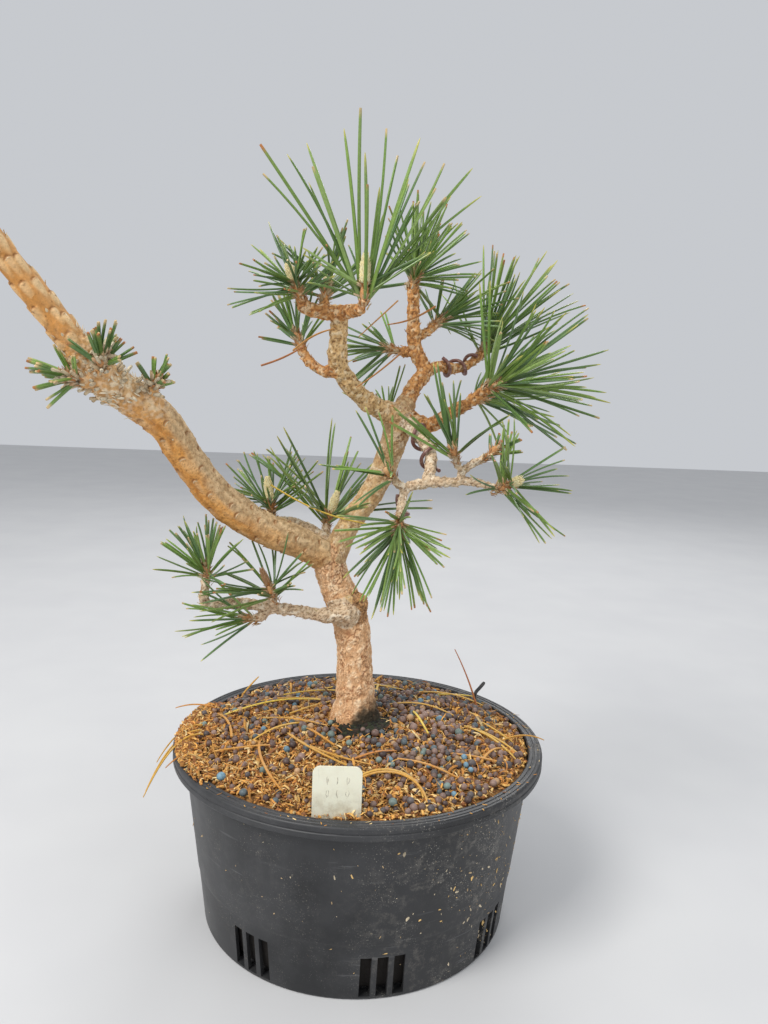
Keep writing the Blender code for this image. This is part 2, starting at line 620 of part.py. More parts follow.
def build_shoot(name, obstacles):
    _, _, count, length, least, most = SHOOTS[name]
    base, axis = shoot_frame(name)
    rng = random.Random(name)
    bm = bmesh.new()
    bmesh.ops.create_icosphere(bm, subdivisions=2 if count > 10 else 1, radius=1)
    matrix = Matrix.Translation(base + axis * CORE_LENGTH / 2) @ axis.to_track_quat("Z", "Y").to_matrix().to_4x4()
    matrix = matrix @ Matrix.Diagonal((CORE_RADIUS, CORE_RADIUS, CORE_LENGTH / 2, 1))
    bmesh.ops.transform(bm, verts=bm.verts, matrix=matrix)
    bm.normal_update()
    leans = {face: face.normal.angle(axis) for face in bm.faces}
    low, high = math.radians(least), math.radians(most)
    faces = [f for f in bm.faces if math.radians(25) < leans[f] < min(high, math.radians(50)) + SLANT]
    chosen = sorted(rng.sample(faces, min(count, len(faces))), key=lambda f: round(leans[f], 3))
    grown = []
    for rank, face in enumerate(chosen):
        lean = leans[face]
        wanted = low + (high - low) * (rank + rng.random()) / len(chosen)
        wanted = max(wanted, lean - SLANT)
        radial = (face.normal - axis * face.normal.dot(axis)).normalized()
        away = axis * math.cos(wanted) + radial * math.sin(wanted)
        reach = length * MM * rng.uniform(0.72, 1.0)
        root = face.calc_center_median()
        middle = root + away * reach * 0.5 - UP * reach * NEEDLE_DROOP * 0.3
        tip = root + away * reach - UP * reach * NEEDLE_DROOP
        outer = root + away * 1.5 * NEEDLE_RADIUS
        if (obstacles.blocked(outer, middle, NEEDLE_RADIUS, name)
                or obstacles.blocked(middle, tip, NEEDLE_RADIUS, name)
                or any(segment_distance(root, tip, *other) < 2 * NEEDLE_RADIUS for other in grown)):
            continue
        draw_out(bm, face, [(middle, NEEDLE_RADIUS), (tip, NEEDLE_RADIUS * 0.5)])
        obstacles.add([Vector((*p, NEEDLE_RADIUS)) for p in (root, middle, tip)], name)
        grown.append((root + away * reach * 0.25, tip))
    add_object(name, bm, "needle_green", smooth=False)


def build_shoots():
    obstacles = Obstacles()
    for name in LIMBS:
        obstacles.add(limb_samples(limb_points(name)), name)
    for name, winding in WIRES.items():
        obstacles.add(wire_samples(*winding), name)
    for name in SHOOTS:
        base, axis = shoot_frame(name)
        core = [Vector((*(base + axis * CORE_LENGTH * share), CORE_RADIUS)) for share in (0.4, 0.6)]
        obstacles.add(core, name)
    build_buds(obstacles)
    for name in SHOOTS:
        build_shoot(name, obstacles)


def main():
    clear_scene()
    make_materials()
    build_pot()
    build_wood()
    build_soil()
    build_label()
    build_anchor_wire()
    build_wires()
    build_shoots()


main()
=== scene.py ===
"""A young black pine in training, in its plastic growing pot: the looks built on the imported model.

Metres, +Z up, the pot's foot centred on the origin, -Y towards the viewer. The wood, the
shoots and the winding wires follow the same limb table as the solid model does.
"""

import math
import random

import bmesh
import bpy
import numpy as np
from mathutils import Matrix, Vector, noise
from mathutils.kdtree import KDTree


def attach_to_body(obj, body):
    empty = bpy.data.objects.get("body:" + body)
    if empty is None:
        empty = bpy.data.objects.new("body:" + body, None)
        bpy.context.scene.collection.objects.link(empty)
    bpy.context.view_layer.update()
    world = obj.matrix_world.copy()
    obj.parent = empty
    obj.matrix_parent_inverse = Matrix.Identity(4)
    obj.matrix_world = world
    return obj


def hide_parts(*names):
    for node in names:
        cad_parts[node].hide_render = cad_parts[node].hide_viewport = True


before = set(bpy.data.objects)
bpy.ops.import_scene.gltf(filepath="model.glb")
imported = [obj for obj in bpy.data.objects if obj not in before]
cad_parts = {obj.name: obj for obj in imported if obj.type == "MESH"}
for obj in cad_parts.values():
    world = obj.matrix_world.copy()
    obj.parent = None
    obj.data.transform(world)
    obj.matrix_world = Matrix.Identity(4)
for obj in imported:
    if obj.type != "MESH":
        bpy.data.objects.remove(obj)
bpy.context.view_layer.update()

MM = 0.001
UP = Vector((0, 0, 1))
WHITE = (1, 1, 1)
GOLDEN = math.radians(137.508)
TREE_FOOT = Vector((-3 * MM, 0, 117 * MM))
VOXEL, QUICK_VOXEL, SMOOTHINGS = 0.62 * MM, 1.0 * MM, 3
LIMB_STEP = 1.5 * MM
LIMB_SIDES = 28
BARK_DEPTH = 0.7
TRUNK_FOOT_R = 15.5 * MM

# ---------------------------------------------------------------- the solid model's sizes

POT_HEIGHT, MOUTH_R, FOOT_R = 107.5 * MM, 106 * MM, 93.5 * MM
POT_WALL, FLANGE, LIP = 1.8 * MM, 6.5 * MM, 7.5 * MM
STEP_HEIGHT, STEP_DEPTH = 33 * MM, 0.6 * MM
POT_SEGMENTS, POT_SHARP_DEGREES = 144, 38
FLOOR_UNDER, FLOOR_TOP, PAD_R, RING_WIDTH = 1.2 * MM, 3.2 * MM, 20 * MM, 9 * MM
SLOT_GROUPS, SLOTS, SLOT_WIDTH, SLOT_PITCH = 8, 3, 6 * MM, 9 * MM
SLOT_BOTTOM, SLOT_HEIGHT, FIRST_SLOT = 2.2 * MM, 24 * MM, math.radians(10)
SOIL_TOP, SOIL_EDGE = 117 * MM, 105.5 * MM
LABEL_WIDTH, LABEL_SHOWING, LABEL_LENGTH, LABEL_CORNER = 25 * MM, 26 * MM, 50 * MM, 4 * MM
LABEL_OFFSET, LABEL_SETBACK, LABEL_HALF_THICK = -10 * MM, 1.5 * MM, 0.45 * MM
LABEL_ROOM = 0.8 * MM
WIRE_R, WIRE_PITCH, WIRE_LIFT, WIRE_SIDES = 1.1 * MM, 15 * MM, 1.12, 14
HOLES, HOLE_RING, HOLE_R = 5, 50 * MM, 5.5 * MM

# Each limb's centre line, measured from the tree's foot: x, y, z and radius in mm.
LIMBS = {
    "trunk": [(2, 0, -14, 18), (0, 0, 0, 16.5), (0, 0, 12, 12.8), (-1, 1, 28, 11.6), (-2, 2, 46, 11),
              (-6, 3, 66, 11.2), (-15, 3, 86, 10.4), (-20, 2, 102, 9.6)],
    "old_scar": [(-5, 2, 66, 8), (-1, -1, 73, 6.6), (0, -3, 79, 4.6)],
    "sacrifice": [(-18, 2, 100, 9), (-37, -4, 111, 9.6), (-61, -12, 122, 9.7), (-82, -22, 139, 9.6),
                  (-97, -32, 161, 9.4), (-107, -42, 180, 9.5), (-121, -52, 193, 9.8),
                  (-136, -62, 205, 9), (-150, -70, 226, 7.1), (-163, -80, 246, 6.5),
                  (-176, -90, 266, 6.2), (-198, -103, 305, 5.6)],
    "leader": [(-18, 3, 98, 9), (-8, 8, 120, 7), (6, 12, 141, 7.4), (14, 12, 160, 7.9), (19, 8, 177, 8.2),
               (22, 4, 193, 8.6)],
    "crown_left": [(21, 4, 188, 7), (8, -2, 192, 6), (-4, -10, 200, 5.4), (-15, -18, 214, 5.4),
                   (-16, -24, 229, 4.9), (-15, -28, 246, 4.6)],
    "crown_shelf": [(-14, -28, 243, 4.4), (-24, -30, 243, 4), (-34, -34, 245, 3.6), (-37, -36, 252, 2.8)],
    "crown_shelf_back": [(-20, -28, 243, 3.6), (-24, -22, 247, 3), (-24, -20, 253, 2.4)],
    "apex_spur": [(-16, -28, 243, 4.4), (-8, -42, 243, 3.4), (-4, -54, 243, 2.8), (-2, -56, 247, 2.4)],
    "crown_hook": [(-15, -18, 212, 4.2), (-25, -20, 212, 3), (-34, -18, 219, 2.8), (-38, -16, 227, 2.5)],
    "centre": [(22, 4, 191, 6), (29, 10, 206, 4.6), (35, 14, 215, 4.4), (29, 16, 228, 4.4), (27, 14, 245, 4),
               (26, 10, 266, 3.2)],
    "centre_right": [(28, 15, 235, 3.4), (36, 22, 239, 2.8), (42, 26, 245, 2.4)],
    "centre_left": [(29, 15, 226, 3.4), (21, 24, 227, 2.8), (15, 26, 228, 2.4)],
    "right_upper": [(34, 14, 214, 4), (45, 22, 219, 3.5), (53, 30, 218, 3.2), (64, 38, 221, 2.9),
                    (73, 42, 229, 2.5)],
    "right_lower": [(22, 6, 188, 6), (37, 0, 183, 4.8), (48, -8, 190, 4), (60, -16, 198, 3.5),
                    (69, -24, 206, 2.9)],
    "right_lower_twig": [(47, -8, 189, 3), (57, -2, 194, 2.8), (67, 8, 200, 2.4)],
    "droop": [(24, 2, 186, 5), (32, -12, 177, 3.8), (38, -18, 169, 3.5), (38, -26, 159, 3.2),
              (36, -30, 151, 3)],
    "droop_left": [(37, -30, 152, 3), (25, -34, 149, 2.7), (22, -40, 140, 2.5), (21, -46, 131, 2.3)],
    "droop_left_spur": [(25, -34, 148, 2.6), (19, -39, 152, 2.2), (17, -41, 156, 1.9)],
    "droop_right": [(35, -30, 152, 3), (50, -32, 153, 2.6), (60, -34, 154, 2.4), (70, -36, 152, 2.2),
                    (75, -40, 151, 2)],
    "droop_upper": [(54, -33, 153, 2.3), (56, -34, 160, 2.2), (64, -36, 166, 2.1), (70, -38, 170, 1.9)],
    "droop_upper_spur": [(56, -34, 159, 2.1), (52, -38, 163, 2), (50, -40, 168, 1.8)],
    "low_left": [(-3, -3, 70, 6), (-9, -9, 69, 5), (-20, -11, 68.5, 4.2), (-35, -9, 70, 3.5),
                 (-52, -10, 72, 3.6), (-70, -14, 75, 3.2), (-88, -20, 76, 3), (-89, -22, 86, 2.5),
                 (-88, -22, 93, 2.2)],
    "low_left_heel": [(-52, -10, 73, 3.4), (-57, -14, 68, 3), (-62, -15, 66, 2.2)],
    "low_left_spur": [(-50, -10, 72, 2.8), (-51, -15, 76, 2.4), (-50, -16, 80, 2.1)],
    "fork_twig": [(-18, 8, 106, 5), (-27, 18, 113, 3.4), (-41, 20, 119, 2.8), (-55, 18, 121, 2.5),
                  (-56, 16, 126, 2.2)],
    "fork_spur": [(-20, 10, 107, 4), (-22, 20, 114, 3), (-22, 23, 118, 2.4)],
    "back_spur": [(17, 10, 172, 3.4), (14, 22, 179, 2.6), (13, 28, 186, 2.2)],
    "elbow_spur": [(-112, -46, 184, 5), (-110, -54, 193, 3.4), (-109, -57, 199, 2.6)],
    "node_left": [(-134, -61, 204, 7), (-140, -69, 201.5, 4.4), (-142, -72, 201, 3)],
    "node_top": [(-135, -62, 205, 7), (-131, -69, 206, 4.4), (-130, -73, 208, 2.9)],
    "node_back": [(-135, -60, 205, 6), (-137, -51, 211, 3.6), (-139, -46, 215, 2.8)],
}

# Each shoot: limb, direction, pairs of needles, needle length in mm, least and most lean in
# degrees, share of needles with a cut tip, length of the leafy part in mm.
SHOOTS = {
    "apex": ("apex_spur", (0.0, -0.05, 1.0), 6, 46, 6, 48, 0.3, 12),
    "crown_left": ("crown_shelf", (-0.4, -0.25, 0.9), 26, 38, 8, 88, 0.6, 10),
    "crown_back": ("crown_shelf_back", (0.1, 0.4, 0.9), 18, 42, 6, 66, 0.6, 10),
    "crown_hook": ("crown_hook", (-0.4, 0.1, 0.9), 14, 33, 6, 70, 0.7, 9),
    "centre_top": ("centre", (0.3, 0.0, 1.0), 38, 45, 4, 95, 0.5, 16),
    "centre_right": ("centre_right", (0.8, 0.2, 0.55), 20, 45, 8, 66, 0.4, 10),
    "centre_left": ("centre_left", (-0.8, 0.45, 0.2), 16, 40, 8, 66, 0.4, 10),
    "right_upper": ("right_upper", (0.45, 0.0, 1.0), 24, 76, 5, 52, 0.4, 12),
    "right_lower": ("right_lower", (0.85, -0.3, 0.35), 28, 64, 6, 62, 0.4, 14),
    "right_rear": ("right_lower_twig", (0.9, 0.5, 0.1), 16, 60, 6, 50, 0.4, 10),
    "droop_tip": ("droop_left", (0.0, -0.45, -1.0), 38, 46, 12, 100, 0.3, 10),
    "droop_side": ("droop_left_spur", (-0.6, -0.5, 0.5), 6, 44, 10, 60, 0.4, 6),
    "droop_right": ("droop_right", (0.85, -0.35, 0.45), 20, 40, 8, 80, 0.6, 9),
    "droop_upper": ("droop_upper", (0.7, -0.1, 0.7), 6, 15, 10, 48, 1.0, 7),
    "droop_middle": ("droop_upper_spur", (-0.35, -0.3, 0.9), 8, 56, 8, 42, 0.3, 6),
    "low_left_tip": ("low_left", (-0.1, -0.1, 1.0), 26, 33, 8, 72, 0.6, 10),
    "low_left_heel": ("low_left_heel", (-0.95, -0.15, 0.22), 8, 44, 6, 32, 0.4, 7),
    "low_left_middle": ("low_left_spur", (-0.4, -0.2, 1.0), 20, 42, 12, 66, 0.5, 7),
    "fork_left": ("fork_twig", (-0.15, 0.1, 1.0), 24, 44, 8, 66, 0.6, 9),
    "fork_right": ("fork_spur", (0.3, 0.1, 1.0), 18, 76, 8, 46, 0.4, 8),
    "trunk_back": ("back_spur", (-0.3, 0.7, 0.8), 8, 34, 8, 60, 0.4, 7),
    "elbow": ("elbow_spur", (0.5, -0.2, 0.8), 8, 14, 10, 60, 1.0, 7),
    "node_left": ("node_left", (-0.9, -0.25, 0.35), 13, 20, 10, 62, 1.0, 8),
    "node_top": ("node_top", (0.25, -0.4, 0.9), 11, 20, 10, 54, 1.0, 8),
    "node_back": ("node_back", (-0.3, 0.7, 0.6), 7, 15, 10, 60, 1.0, 7),
}

# The apex's long needles: lean to the right (or left, negative) and length in mm.
APEX_NEEDLES = [
    (-35, 92), (-25, 82), (-21, 83), (-5, 94), (1, 72), (9, 86), (15, 83), (19, 76), (32, 78), (35, 90),
    (41, 82), (24, 56), (5, 60),
]

# Each bud: its shoot, its length in mm, and whether it is a pale spring candle.
BUDS = {
    "bud_apex": ("apex", 15, True),
    "bud_crown_left": ("crown_left", 9, True),
    "bud_crown_back": ("crown_back", 9, True),
    "bud_fork_left": ("fork_left", 14, True),
    "bud_fork_right": ("fork_right", 14, True),
    "bud_low_left": ("low_left_middle", 11, False),
    "bud_droop_right": ("droop_right", 6, True),
}
# The length of the twig stub that carries a shoot's needles, and the gap between pieces.
CORE_LENGTH, CLEARANCE = 7 * MM, 0.3 * MM

# Each winding wire: its limb, the angle it starts at in degrees, and the length of limb in mm
# that it leaves free at the limb's start and at its end.
WIRES = {
    "training_wire_droop": ("droop", 200, 12, 9),
    "training_wire_droop_tip": ("droop_left", 20, 20, 3),
    "training_wire_right": ("right_upper", 90, 14, 6),
}


# ---------------------------------------------------------------- mesh building


class Sink:
    """Collects the vertices, faces and colours of one piece."""

    def __init__(self):
        self.verts, self.faces, self.colours = [], [], []

    def add(self, verts, faces, colours):
        first = len(self.verts)
        self.verts += [tuple(v) for v in verts]
        self.faces += [tuple(first + i for i in face) for face in faces]
        self.colours += [tuple(c) for c in colours]

    def tube(self, points, radii, sides, colours, flat=1.0, face=None):
        """A closed tube; flat squashes it along the direction given by face."""
        frames = frames_along(points, face)
        verts, faces, tints = [], [], []
        for k, (point, radius, (u, v)) in enumerate(zip(points, radii, frames)):
            for i in range(sides):
                angle = math.tau * i / sides
                verts.append(point + (u * math.cos(angle) * flat + v * math.sin(angle)) * radius)
                tints.append(colours[k])
            if k:
                low, high = (k - 1) * sides, k * sides
                faces += [(low + i, low + (i + 1) % sides, high + (i + 1) % sides, high + i)
                          for i in range(sides)]
        faces.append(tuple(range(sides - 1, -1, -1)))
        faces.append(tuple(range((len(points) - 1) * sides, len(points) * sides)))
        self.add(verts, faces, tints)

    def blob(self, centre, radius, template, colour, matrix=None):
        verts, faces = template
        placed = [centre + (matrix @ v if matrix else v) * radius for v in verts]
        self.add(placed, faces, [colour] * len(verts))

    def object(self, name, material, smooth=True):
        mesh = bpy.data.meshes.new(name)
        mesh.from_pydata(self.verts, [], self.faces)
        attribute = mesh.color_attributes.new("tint", "FLOAT_COLOR", "POINT")
        flat = np.ones((len(self.verts), 4), np.float32)
        flat[:, :3] = np.array(self.colours, np.float32)[:, :3]
        attribute.data.foreach_set("color", flat.ravel())
        mesh.validate()
        return finished(name, mesh, material, smooth)


def finished(name, mesh, material, smooth=True, angle=50):
    """An object made of a mesh; edges sharper than the angle stay sharp."""
    if smooth:
        mesh.shade_smooth()
        mesh.set_sharp_from_angle(angle=math.radians(angle))
    mesh.materials.append(material)
    obj = bpy.data.objects.new(name, mesh)
    bpy.context.scene.collection.objects.link(obj)
    return obj


def frames_along(points, first=None):
    """Two cross axes at each point of a path, turning as little as they can."""
    last = len(points) - 1
    tangents = [(points[min(i + 1, last)] - points[max(i - 1, 0)]).normalized() for i in range(last + 1)]
    side = first if first is not None else tangents[0].orthogonal()
    frames = []
    for tangent in tangents:
        side = side - tangent * side.dot(tangent)
        side = side.normalized() if side.length > 1e-9 else tangent.orthogonal().normalized()
        frames.append((side, tangent.cross(side)))
    return frames


def smooth_path(points, step):
    """Samples about a step apart on a smooth curve through points of x, y, z and radius."""
    knots = [Vector(p) for p in points]
    knots = [2 * knots[0] - knots[1], *knots, 2 * knots[-1] - knots[-2]]
    samples = []
    for a, b, c, d in zip(knots, knots[1:], knots[2:], knots[3:]):
        count = max(1, round((c - b).xyz.length / step))
        for i in range(count):
            t = i / count
            samples.append(0.5 * (2 * b + (c - a) * t + (2 * a - 5 * b + 4 * c - d) * t**2
                                  + (3 * b - a - 3 * c + d) * t**3))
    return [*samples, knots[-2]]


def limb_points(name):
    """A limb's centre line in metres, with the radius as a fourth number."""
    return [Vector((*(TREE_FOOT + Vector((x, y, z)) * MM), r * MM)) for x, y, z, r in LIMBS[name]]


def around(u, v, angle):
    """The direction at an angle between two cross axes."""
    return u * math.cos(angle) + v * math.sin(angle)


def level(angle):
    """A level unit vector at an azimuth."""
    return Vector((math.cos(angle), math.sin(angle), 0))


def mesh_from(bm, name):
    mesh = bpy.data.meshes.new(name)
    bm.to_mesh(mesh)
    bm.free()
    return mesh


def attach(obj, node=None):
    """Ties a piece to the part's one body, and hides the solid node it stands for."""
    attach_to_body(obj, "root")
    if node:
        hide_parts(node)


def mix(a, b, t):
    """A colour between two others."""
    t = min(max(t, 0), 1)
    return tuple(x + (y - x) * t for x, y in zip(a, b))


def scaled(colour, k):
    return tuple(min(c * k, 1) for c in colour)


def shades(colour, shares):
    """One colour, darker or lighter at each step."""
    return [scaled(colour, k) for k in shares]


def taper(radius, shares):
    """One radius, thinner or thicker at each step."""
    return [radius * k for k in shares]


def ball_template(subdivisions):
    bm = bmesh.new()
    bmesh.ops.create_icosphere(bm, subdivisions=subdivisions, radius=1)
    template = [v.co.copy() for v in bm.verts], [tuple(v.index for v in f.verts) for f in bm.faces]
    bm.free()
    return template


def smoothstep(low, high, x):
    t = min(max((x - low) / (high - low), 0), 1)
    return t * t * (3 - 2 * t)


# ---------------------------------------------------------------- materials


# The colour mix node's sockets: factor and the two colours, then its colour result.
COLOUR_MIX_INPUTS = (0, 6, 7)
COLOUR_MIX_OUTPUT = 2


class Nodes:
    """A material's node tree, with short calls for the nodes used here."""

    def __init__(self, name, roughness=0.5, **sockets):
        self.material = bpy.data.materials.new(name)
        self.material.use_nodes = True
        self.tree = self.material.node_tree
        self.shader = self.tree.nodes["Principled BSDF"]
        self.shader.inputs["Roughness"].default_value = roughness
        for key, value in sockets.items():
            self.shader.inputs[key.replace("_", " ")].default_value = value
        self.coords = self.tree.nodes.new("ShaderNodeTexCoord").outputs["Object"]

    def feed(self, socket, value):
        """Links a socket to another node's output, or gives it a plain value."""
        if isinstance(value, bpy.types.NodeSocket):
            self.tree.links.new(value, socket)
        elif isinstance(value, tuple):
            socket.default_value = (*value, 1)
        else:
            socket.default_value = value

    def node(self, kind, **inputs):
        node = self.tree.nodes.new("ShaderNode" + kind)
        for key, value in inputs.items():
            self.feed(node.inputs[key], value)
        return node

    def scaled_coords(self, x, y, z):
        node = self.node("Mapping", Vector=self.coords)
        node.inputs["Scale"].default_value = (x, y, z)
        return node.outputs[0]

    def noise(self, scale, detail=4.0, rough=0.6, vector=None):
        return self.node("TexNoise", Vector=vector or self.coords, Scale=scale, Detail=detail,
                         Roughness=rough).outputs["Fac"]

    def spots(self, scale):
        """How far a place is from the nearest of many scattered points."""
        return self.node("TexVoronoi", Vector=self.coords, Scale=scale).outputs["Distance"]

    def grey(self, value, low, high, a=0.0, b=1.0):
        node = self.node("MapRange", Value=value)
        for key, number in zip(("From Min", "From Max", "To Min", "To Max"), (low, high, a, b)):
            node.inputs[key].default_value = number
        return node.outputs[0]

    def mix(self, factor, a, b, blend="MIX"):
        node = self.tree.nodes.new("ShaderNodeMix")
        node.data_type = "RGBA"
        node.blend_type = blend
        for index, value in zip(COLOUR_MIX_INPUTS, (factor, a, b)):
            self.feed(node.inputs[index], value)
        return node.outputs[COLOUR_MIX_OUTPUT]

    def math(self, operation, a, b=0.0):
        node = self.tree.nodes.new("ShaderNodeMath")
        node.operation = operation
        for socket, value in zip(node.inputs, (a, b)):
            self.feed(socket, value)
        return node.outputs[0]

    def times(self, a, b):
        return self.math("MULTIPLY", a, b)

    def plus(self, a, b):
        return self.math("ADD", a, b)

    def split(self):
        """The place's x, y and z."""
        return self.node("SeparateXYZ", Vector=self.coords).outputs

    def tint(self):
        """The colour stored on the mesh."""
        node = self.tree.nodes.new("ShaderNodeAttribute")
        node.attribute_name = "tint"
        return node.outputs["Color"]

    def bump(self, height, distance, strength):
        return self.node("Bump", Height=height, Strength=strength, Distance=distance).outputs[0]

    def finish(self, colour=None, roughness=None, normal=None):
        for socket, value in (("Base Color", colour), ("Roughness", roughness), ("Normal", normal)):
            if value is not None:
                self.feed(self.shader.inputs[socket], value)
        return self.material


def tinted(name, roughness, scale, variation, bump_mm, **sockets):
    """A material that takes its colour from the mesh, broken up by fine noise."""
    n = Nodes(name, roughness, **sockets)
    speckle = n.noise(scale, 3.0)
    shade = n.grey(speckle, 0.3, 0.7, 1 - variation, 1 + variation)
    colour = n.mix(1.0, n.tint(), shade, "MULTIPLY")
    rough = n.grey(speckle, 0.3, 0.7, roughness - 0.08, roughness + 0.08)
    return n.finish(colour, rough, n.bump(speckle, bump_mm * MM, 0.6))


# Specks on the pot: how fine they are, their size, how patchy, and their colour.
POT_SPECKS = (
    (480, 0.20, 0.52, (0.40, 0.37, 0.31)),
    (210, 0.13, 0.56, (0.46, 0.38, 0.26)),
    (900, 0.22, 0.46, (0.30, 0.29, 0.27)),
)


def pot_plastic():
    """Black plastic, dusty on the left and splashed with mud on the right."""
    n = Nodes("pot_plastic", 0.42, Specular_IOR_Level=0.42)
    fine = n.noise(900, 2.0)
    cloud = n.noise(16, 5.0, 0.62)
    streaks = n.noise(34, 5.0, 0.72, n.scaled_coords(1.4, 1.4, 0.3))
    across = n.split()[0]
    left = n.grey(across, 0.04, -0.09)
    right = n.grey(across, -0.01, 0.08)
    dust = n.times(n.grey(cloud, 0.40, 0.70), n.plus(n.times(left, 0.7), 0.3))
    colour = n.mix(dust, (0.0175, 0.018, 0.0195), (0.078, 0.079, 0.083))
    smear = n.times(n.grey(n.noise(190, 7.0, 0.8), 0.50, 0.62),
                    n.grey(n.noise(26, 4.0, 0.6), 0.42, 0.60))
    smear = n.times(smear, n.plus(n.times(right, 0.62), 0.12))
    colour = n.mix(n.times(smear, 0.7), colour, (0.24, 0.22, 0.19))
    colour = n.mix(n.grey(streaks, 0.58, 0.80, 0, 0.4), colour, (0.105, 0.102, 0.098))
    for scale, size, patches, tint in POT_SPECKS:
        speck = n.times(n.grey(n.spots(scale), size, size * 0.5),
                        n.grey(n.noise(48, 3.0), patches, patches + 0.08))
        speck = n.times(speck, n.plus(n.times(right, 0.75), 0.25))
        colour = n.mix(speck, colour, tint)
    scratch = n.grey(n.noise(60, 2.0, 0.5, n.scaled_coords(0.6, 0.6, 9)), 0.665, 0.70)
    scratch = n.times(scratch, n.grey(n.noise(18, 2.0), 0.5, 0.6))
    colour = n.mix(n.times(scratch, 0.3), colour, (0.17, 0.17, 0.175))
    rough = n.plus(n.grey(cloud, 0.3, 0.75, 0.32, 0.56), n.times(dust, 0.15))
    height = n.plus(n.times(fine, 0.3), n.times(smear, 0.6))
    normal = n.bump(n.plus(height, n.times(streaks, 0.5)), 0.14 * MM, 0.5)
    return n.finish(colour, rough, normal)


def bark():
    n = Nodes("pine_bark", 0.85, Specular_IOR_Level=0.3)
    fine = n.noise(1200, 4.0, 0.65)
    medium = n.noise(330, 5.0, 0.7)
    pits = n.grey(n.noise(640, 3.0, 0.6, n.scaled_coords(1, 1, 0.6)), 0.37, 0.28)
    shade = n.times(n.grey(medium, 0.3, 0.7, 0.80, 1.22), n.grey(fine, 0.3, 0.7, 0.90, 1.10))
    colour = n.mix(1.0, n.tint(), shade, "MULTIPLY")
    colour = n.mix(n.times(pits, 0.5), colour, (0.15, 0.065, 0.025))
    height = n.plus(n.times(medium, 0.7), n.times(fine, 0.3))
    height = n.math("SUBTRACT", height, n.times(pits, 0.3))
    return n.finish(colour, n.grey(medium, 0.3, 0.7, 0.75, 0.95), n.bump(height, 0.5 * MM, 0.9))


def label_plastic():
    n = Nodes("label_plastic", 0.4, Subsurface_Weight=0.05)
    grime = n.noise(130, 5.0, 0.7)
    low = n.grey(n.split()[2], 0.122, 0.106)
    dirt = n.times(n.grey(grime, 0.45, 0.7), n.plus(n.times(low, 0.6), 0.14))
    colour = n.mix(dirt, (0.80, 0.78, 0.62), (0.38, 0.29, 0.17))
    scuff = n.grey(n.noise(300, 2.0, 0.5, n.scaled_coords(3, 1, 0.4)), 0.66, 0.74, 0, 0.25)
    colour = n.mix(scuff, colour, (0.55, 0.54, 0.47))
    return n.finish(colour, n.grey(grime, 0.3, 0.7, 0.32, 0.55), n.bump(grime, 0.05 * MM, 0.4))


def wire_metal():
    n = Nodes("wire_metal", 0.42, Metallic=0.55)
    worn = n.noise(420, 4.0, 0.65)
    colour = n.mix(n.grey(worn, 0.5, 0.72), (0.20, 0.10, 0.085), (0.42, 0.30, 0.25))
    return n.finish(colour, n.grey(worn, 0.3, 0.7, 0.34, 0.6), n.bump(worn, 0.08 * MM, 0.6))


def black_cable():
    n = Nodes("black_wire", 0.45)
    worn = n.noise(380, 4.0)
    colour = n.mix(n.grey(worn, 0.5, 0.75), (0.014, 0.014, 0.015), (0.075, 0.07, 0.065))
    return n.finish(colour, n.grey(worn, 0.3, 0.7, 0.36, 0.58), n.bump(worn, 0.06 * MM, 0.5))


def floor_paper():
    n = Nodes("floor_paper", 0.9, Specular_IOR_Level=0.1)
    return n.finish(n.mix(n.grey(n.noise(8, 2.0), 0.3, 0.7), (0.60, 0.60, 0.605), (0.63, 0.63, 0.63)))


POT = pot_plastic()
BARK = bark()
NEEDLE = tinted("needle_green", 0.36, 700, 0.16, 0.05, Specular_IOR_Level=0.5)
SCALE = tinted("papery_scales", 0.82, 900, 0.22, 0.15)
BUD = tinted("bud_scales", 0.7, 900, 0.15, 0.1)
MIX = tinted("potting_fibre", 0.92, 700, 0.35, 0.35)
FIBRE = tinted("shredded_fibre", 0.88, 900, 0.25, 0.15)
PRILL = tinted("coated_prill", 0.5, 520, 0.2, 0.12, Specular_IOR_Level=0.45)
STRAW = tinted("dead_needle", 0.55, 600, 0.2, 0.06)


# ---------------------------------------------------------------- wood


BARK_TAN, BARK_DARK, BARK_RUST = (0.58, 0.38, 0.20), (0.14, 0.065, 0.03), (0.48, 0.19, 0.05)
TRUNK_BARK = ((0.66, 0.38, 0.19), (0.86, 0.57, 0.33), (0.91, 0.70, 0.46))
LEADER_BARK = ((0.50, 0.32, 0.15), (0.71, 0.52, 0.30), (0.86, 0.73, 0.52))
PALE_TWIG = ((0.52, 0.36, 0.22), (0.68, 0.52, 0.35), (0.78, 0.66, 0.50))
GOLD_TWIG = ((0.46, 0.27, 0.10), (0.66, 0.45, 0.22), (0.74, 0.58, 0.36))
RUST_TWIG = ((0.38, 0.15, 0.045), (0.62, 0.31, 0.11), (0.72, 0.50, 0.29))
# The long limb's swelling: how far along it in mm, its x, where the younger wood begins beyond
# it, and how many stubs bristle from it.
KNUCKLE_AT, KNUCKLE_X, YOUNG_FROM, KNUCKLE_STUBS = 170, -136 * MM, 184 * MM, 60
PALE_LIMBS = ("droop", "low_left", "fork")
RUST_LIMBS = ("centre", "right", "crown_hook", "crown_shelf", "apex_spur", "back_spur")


def twig_palette(name):
    """Dark, middle and light bark: pale, rusty or golden, by the limb's name."""
    if name.startswith(PALE_LIMBS):
        return PALE_TWIG
    return RUST_TWIG if name.startswith(RUST_LIMBS) else GOLD_TWIG


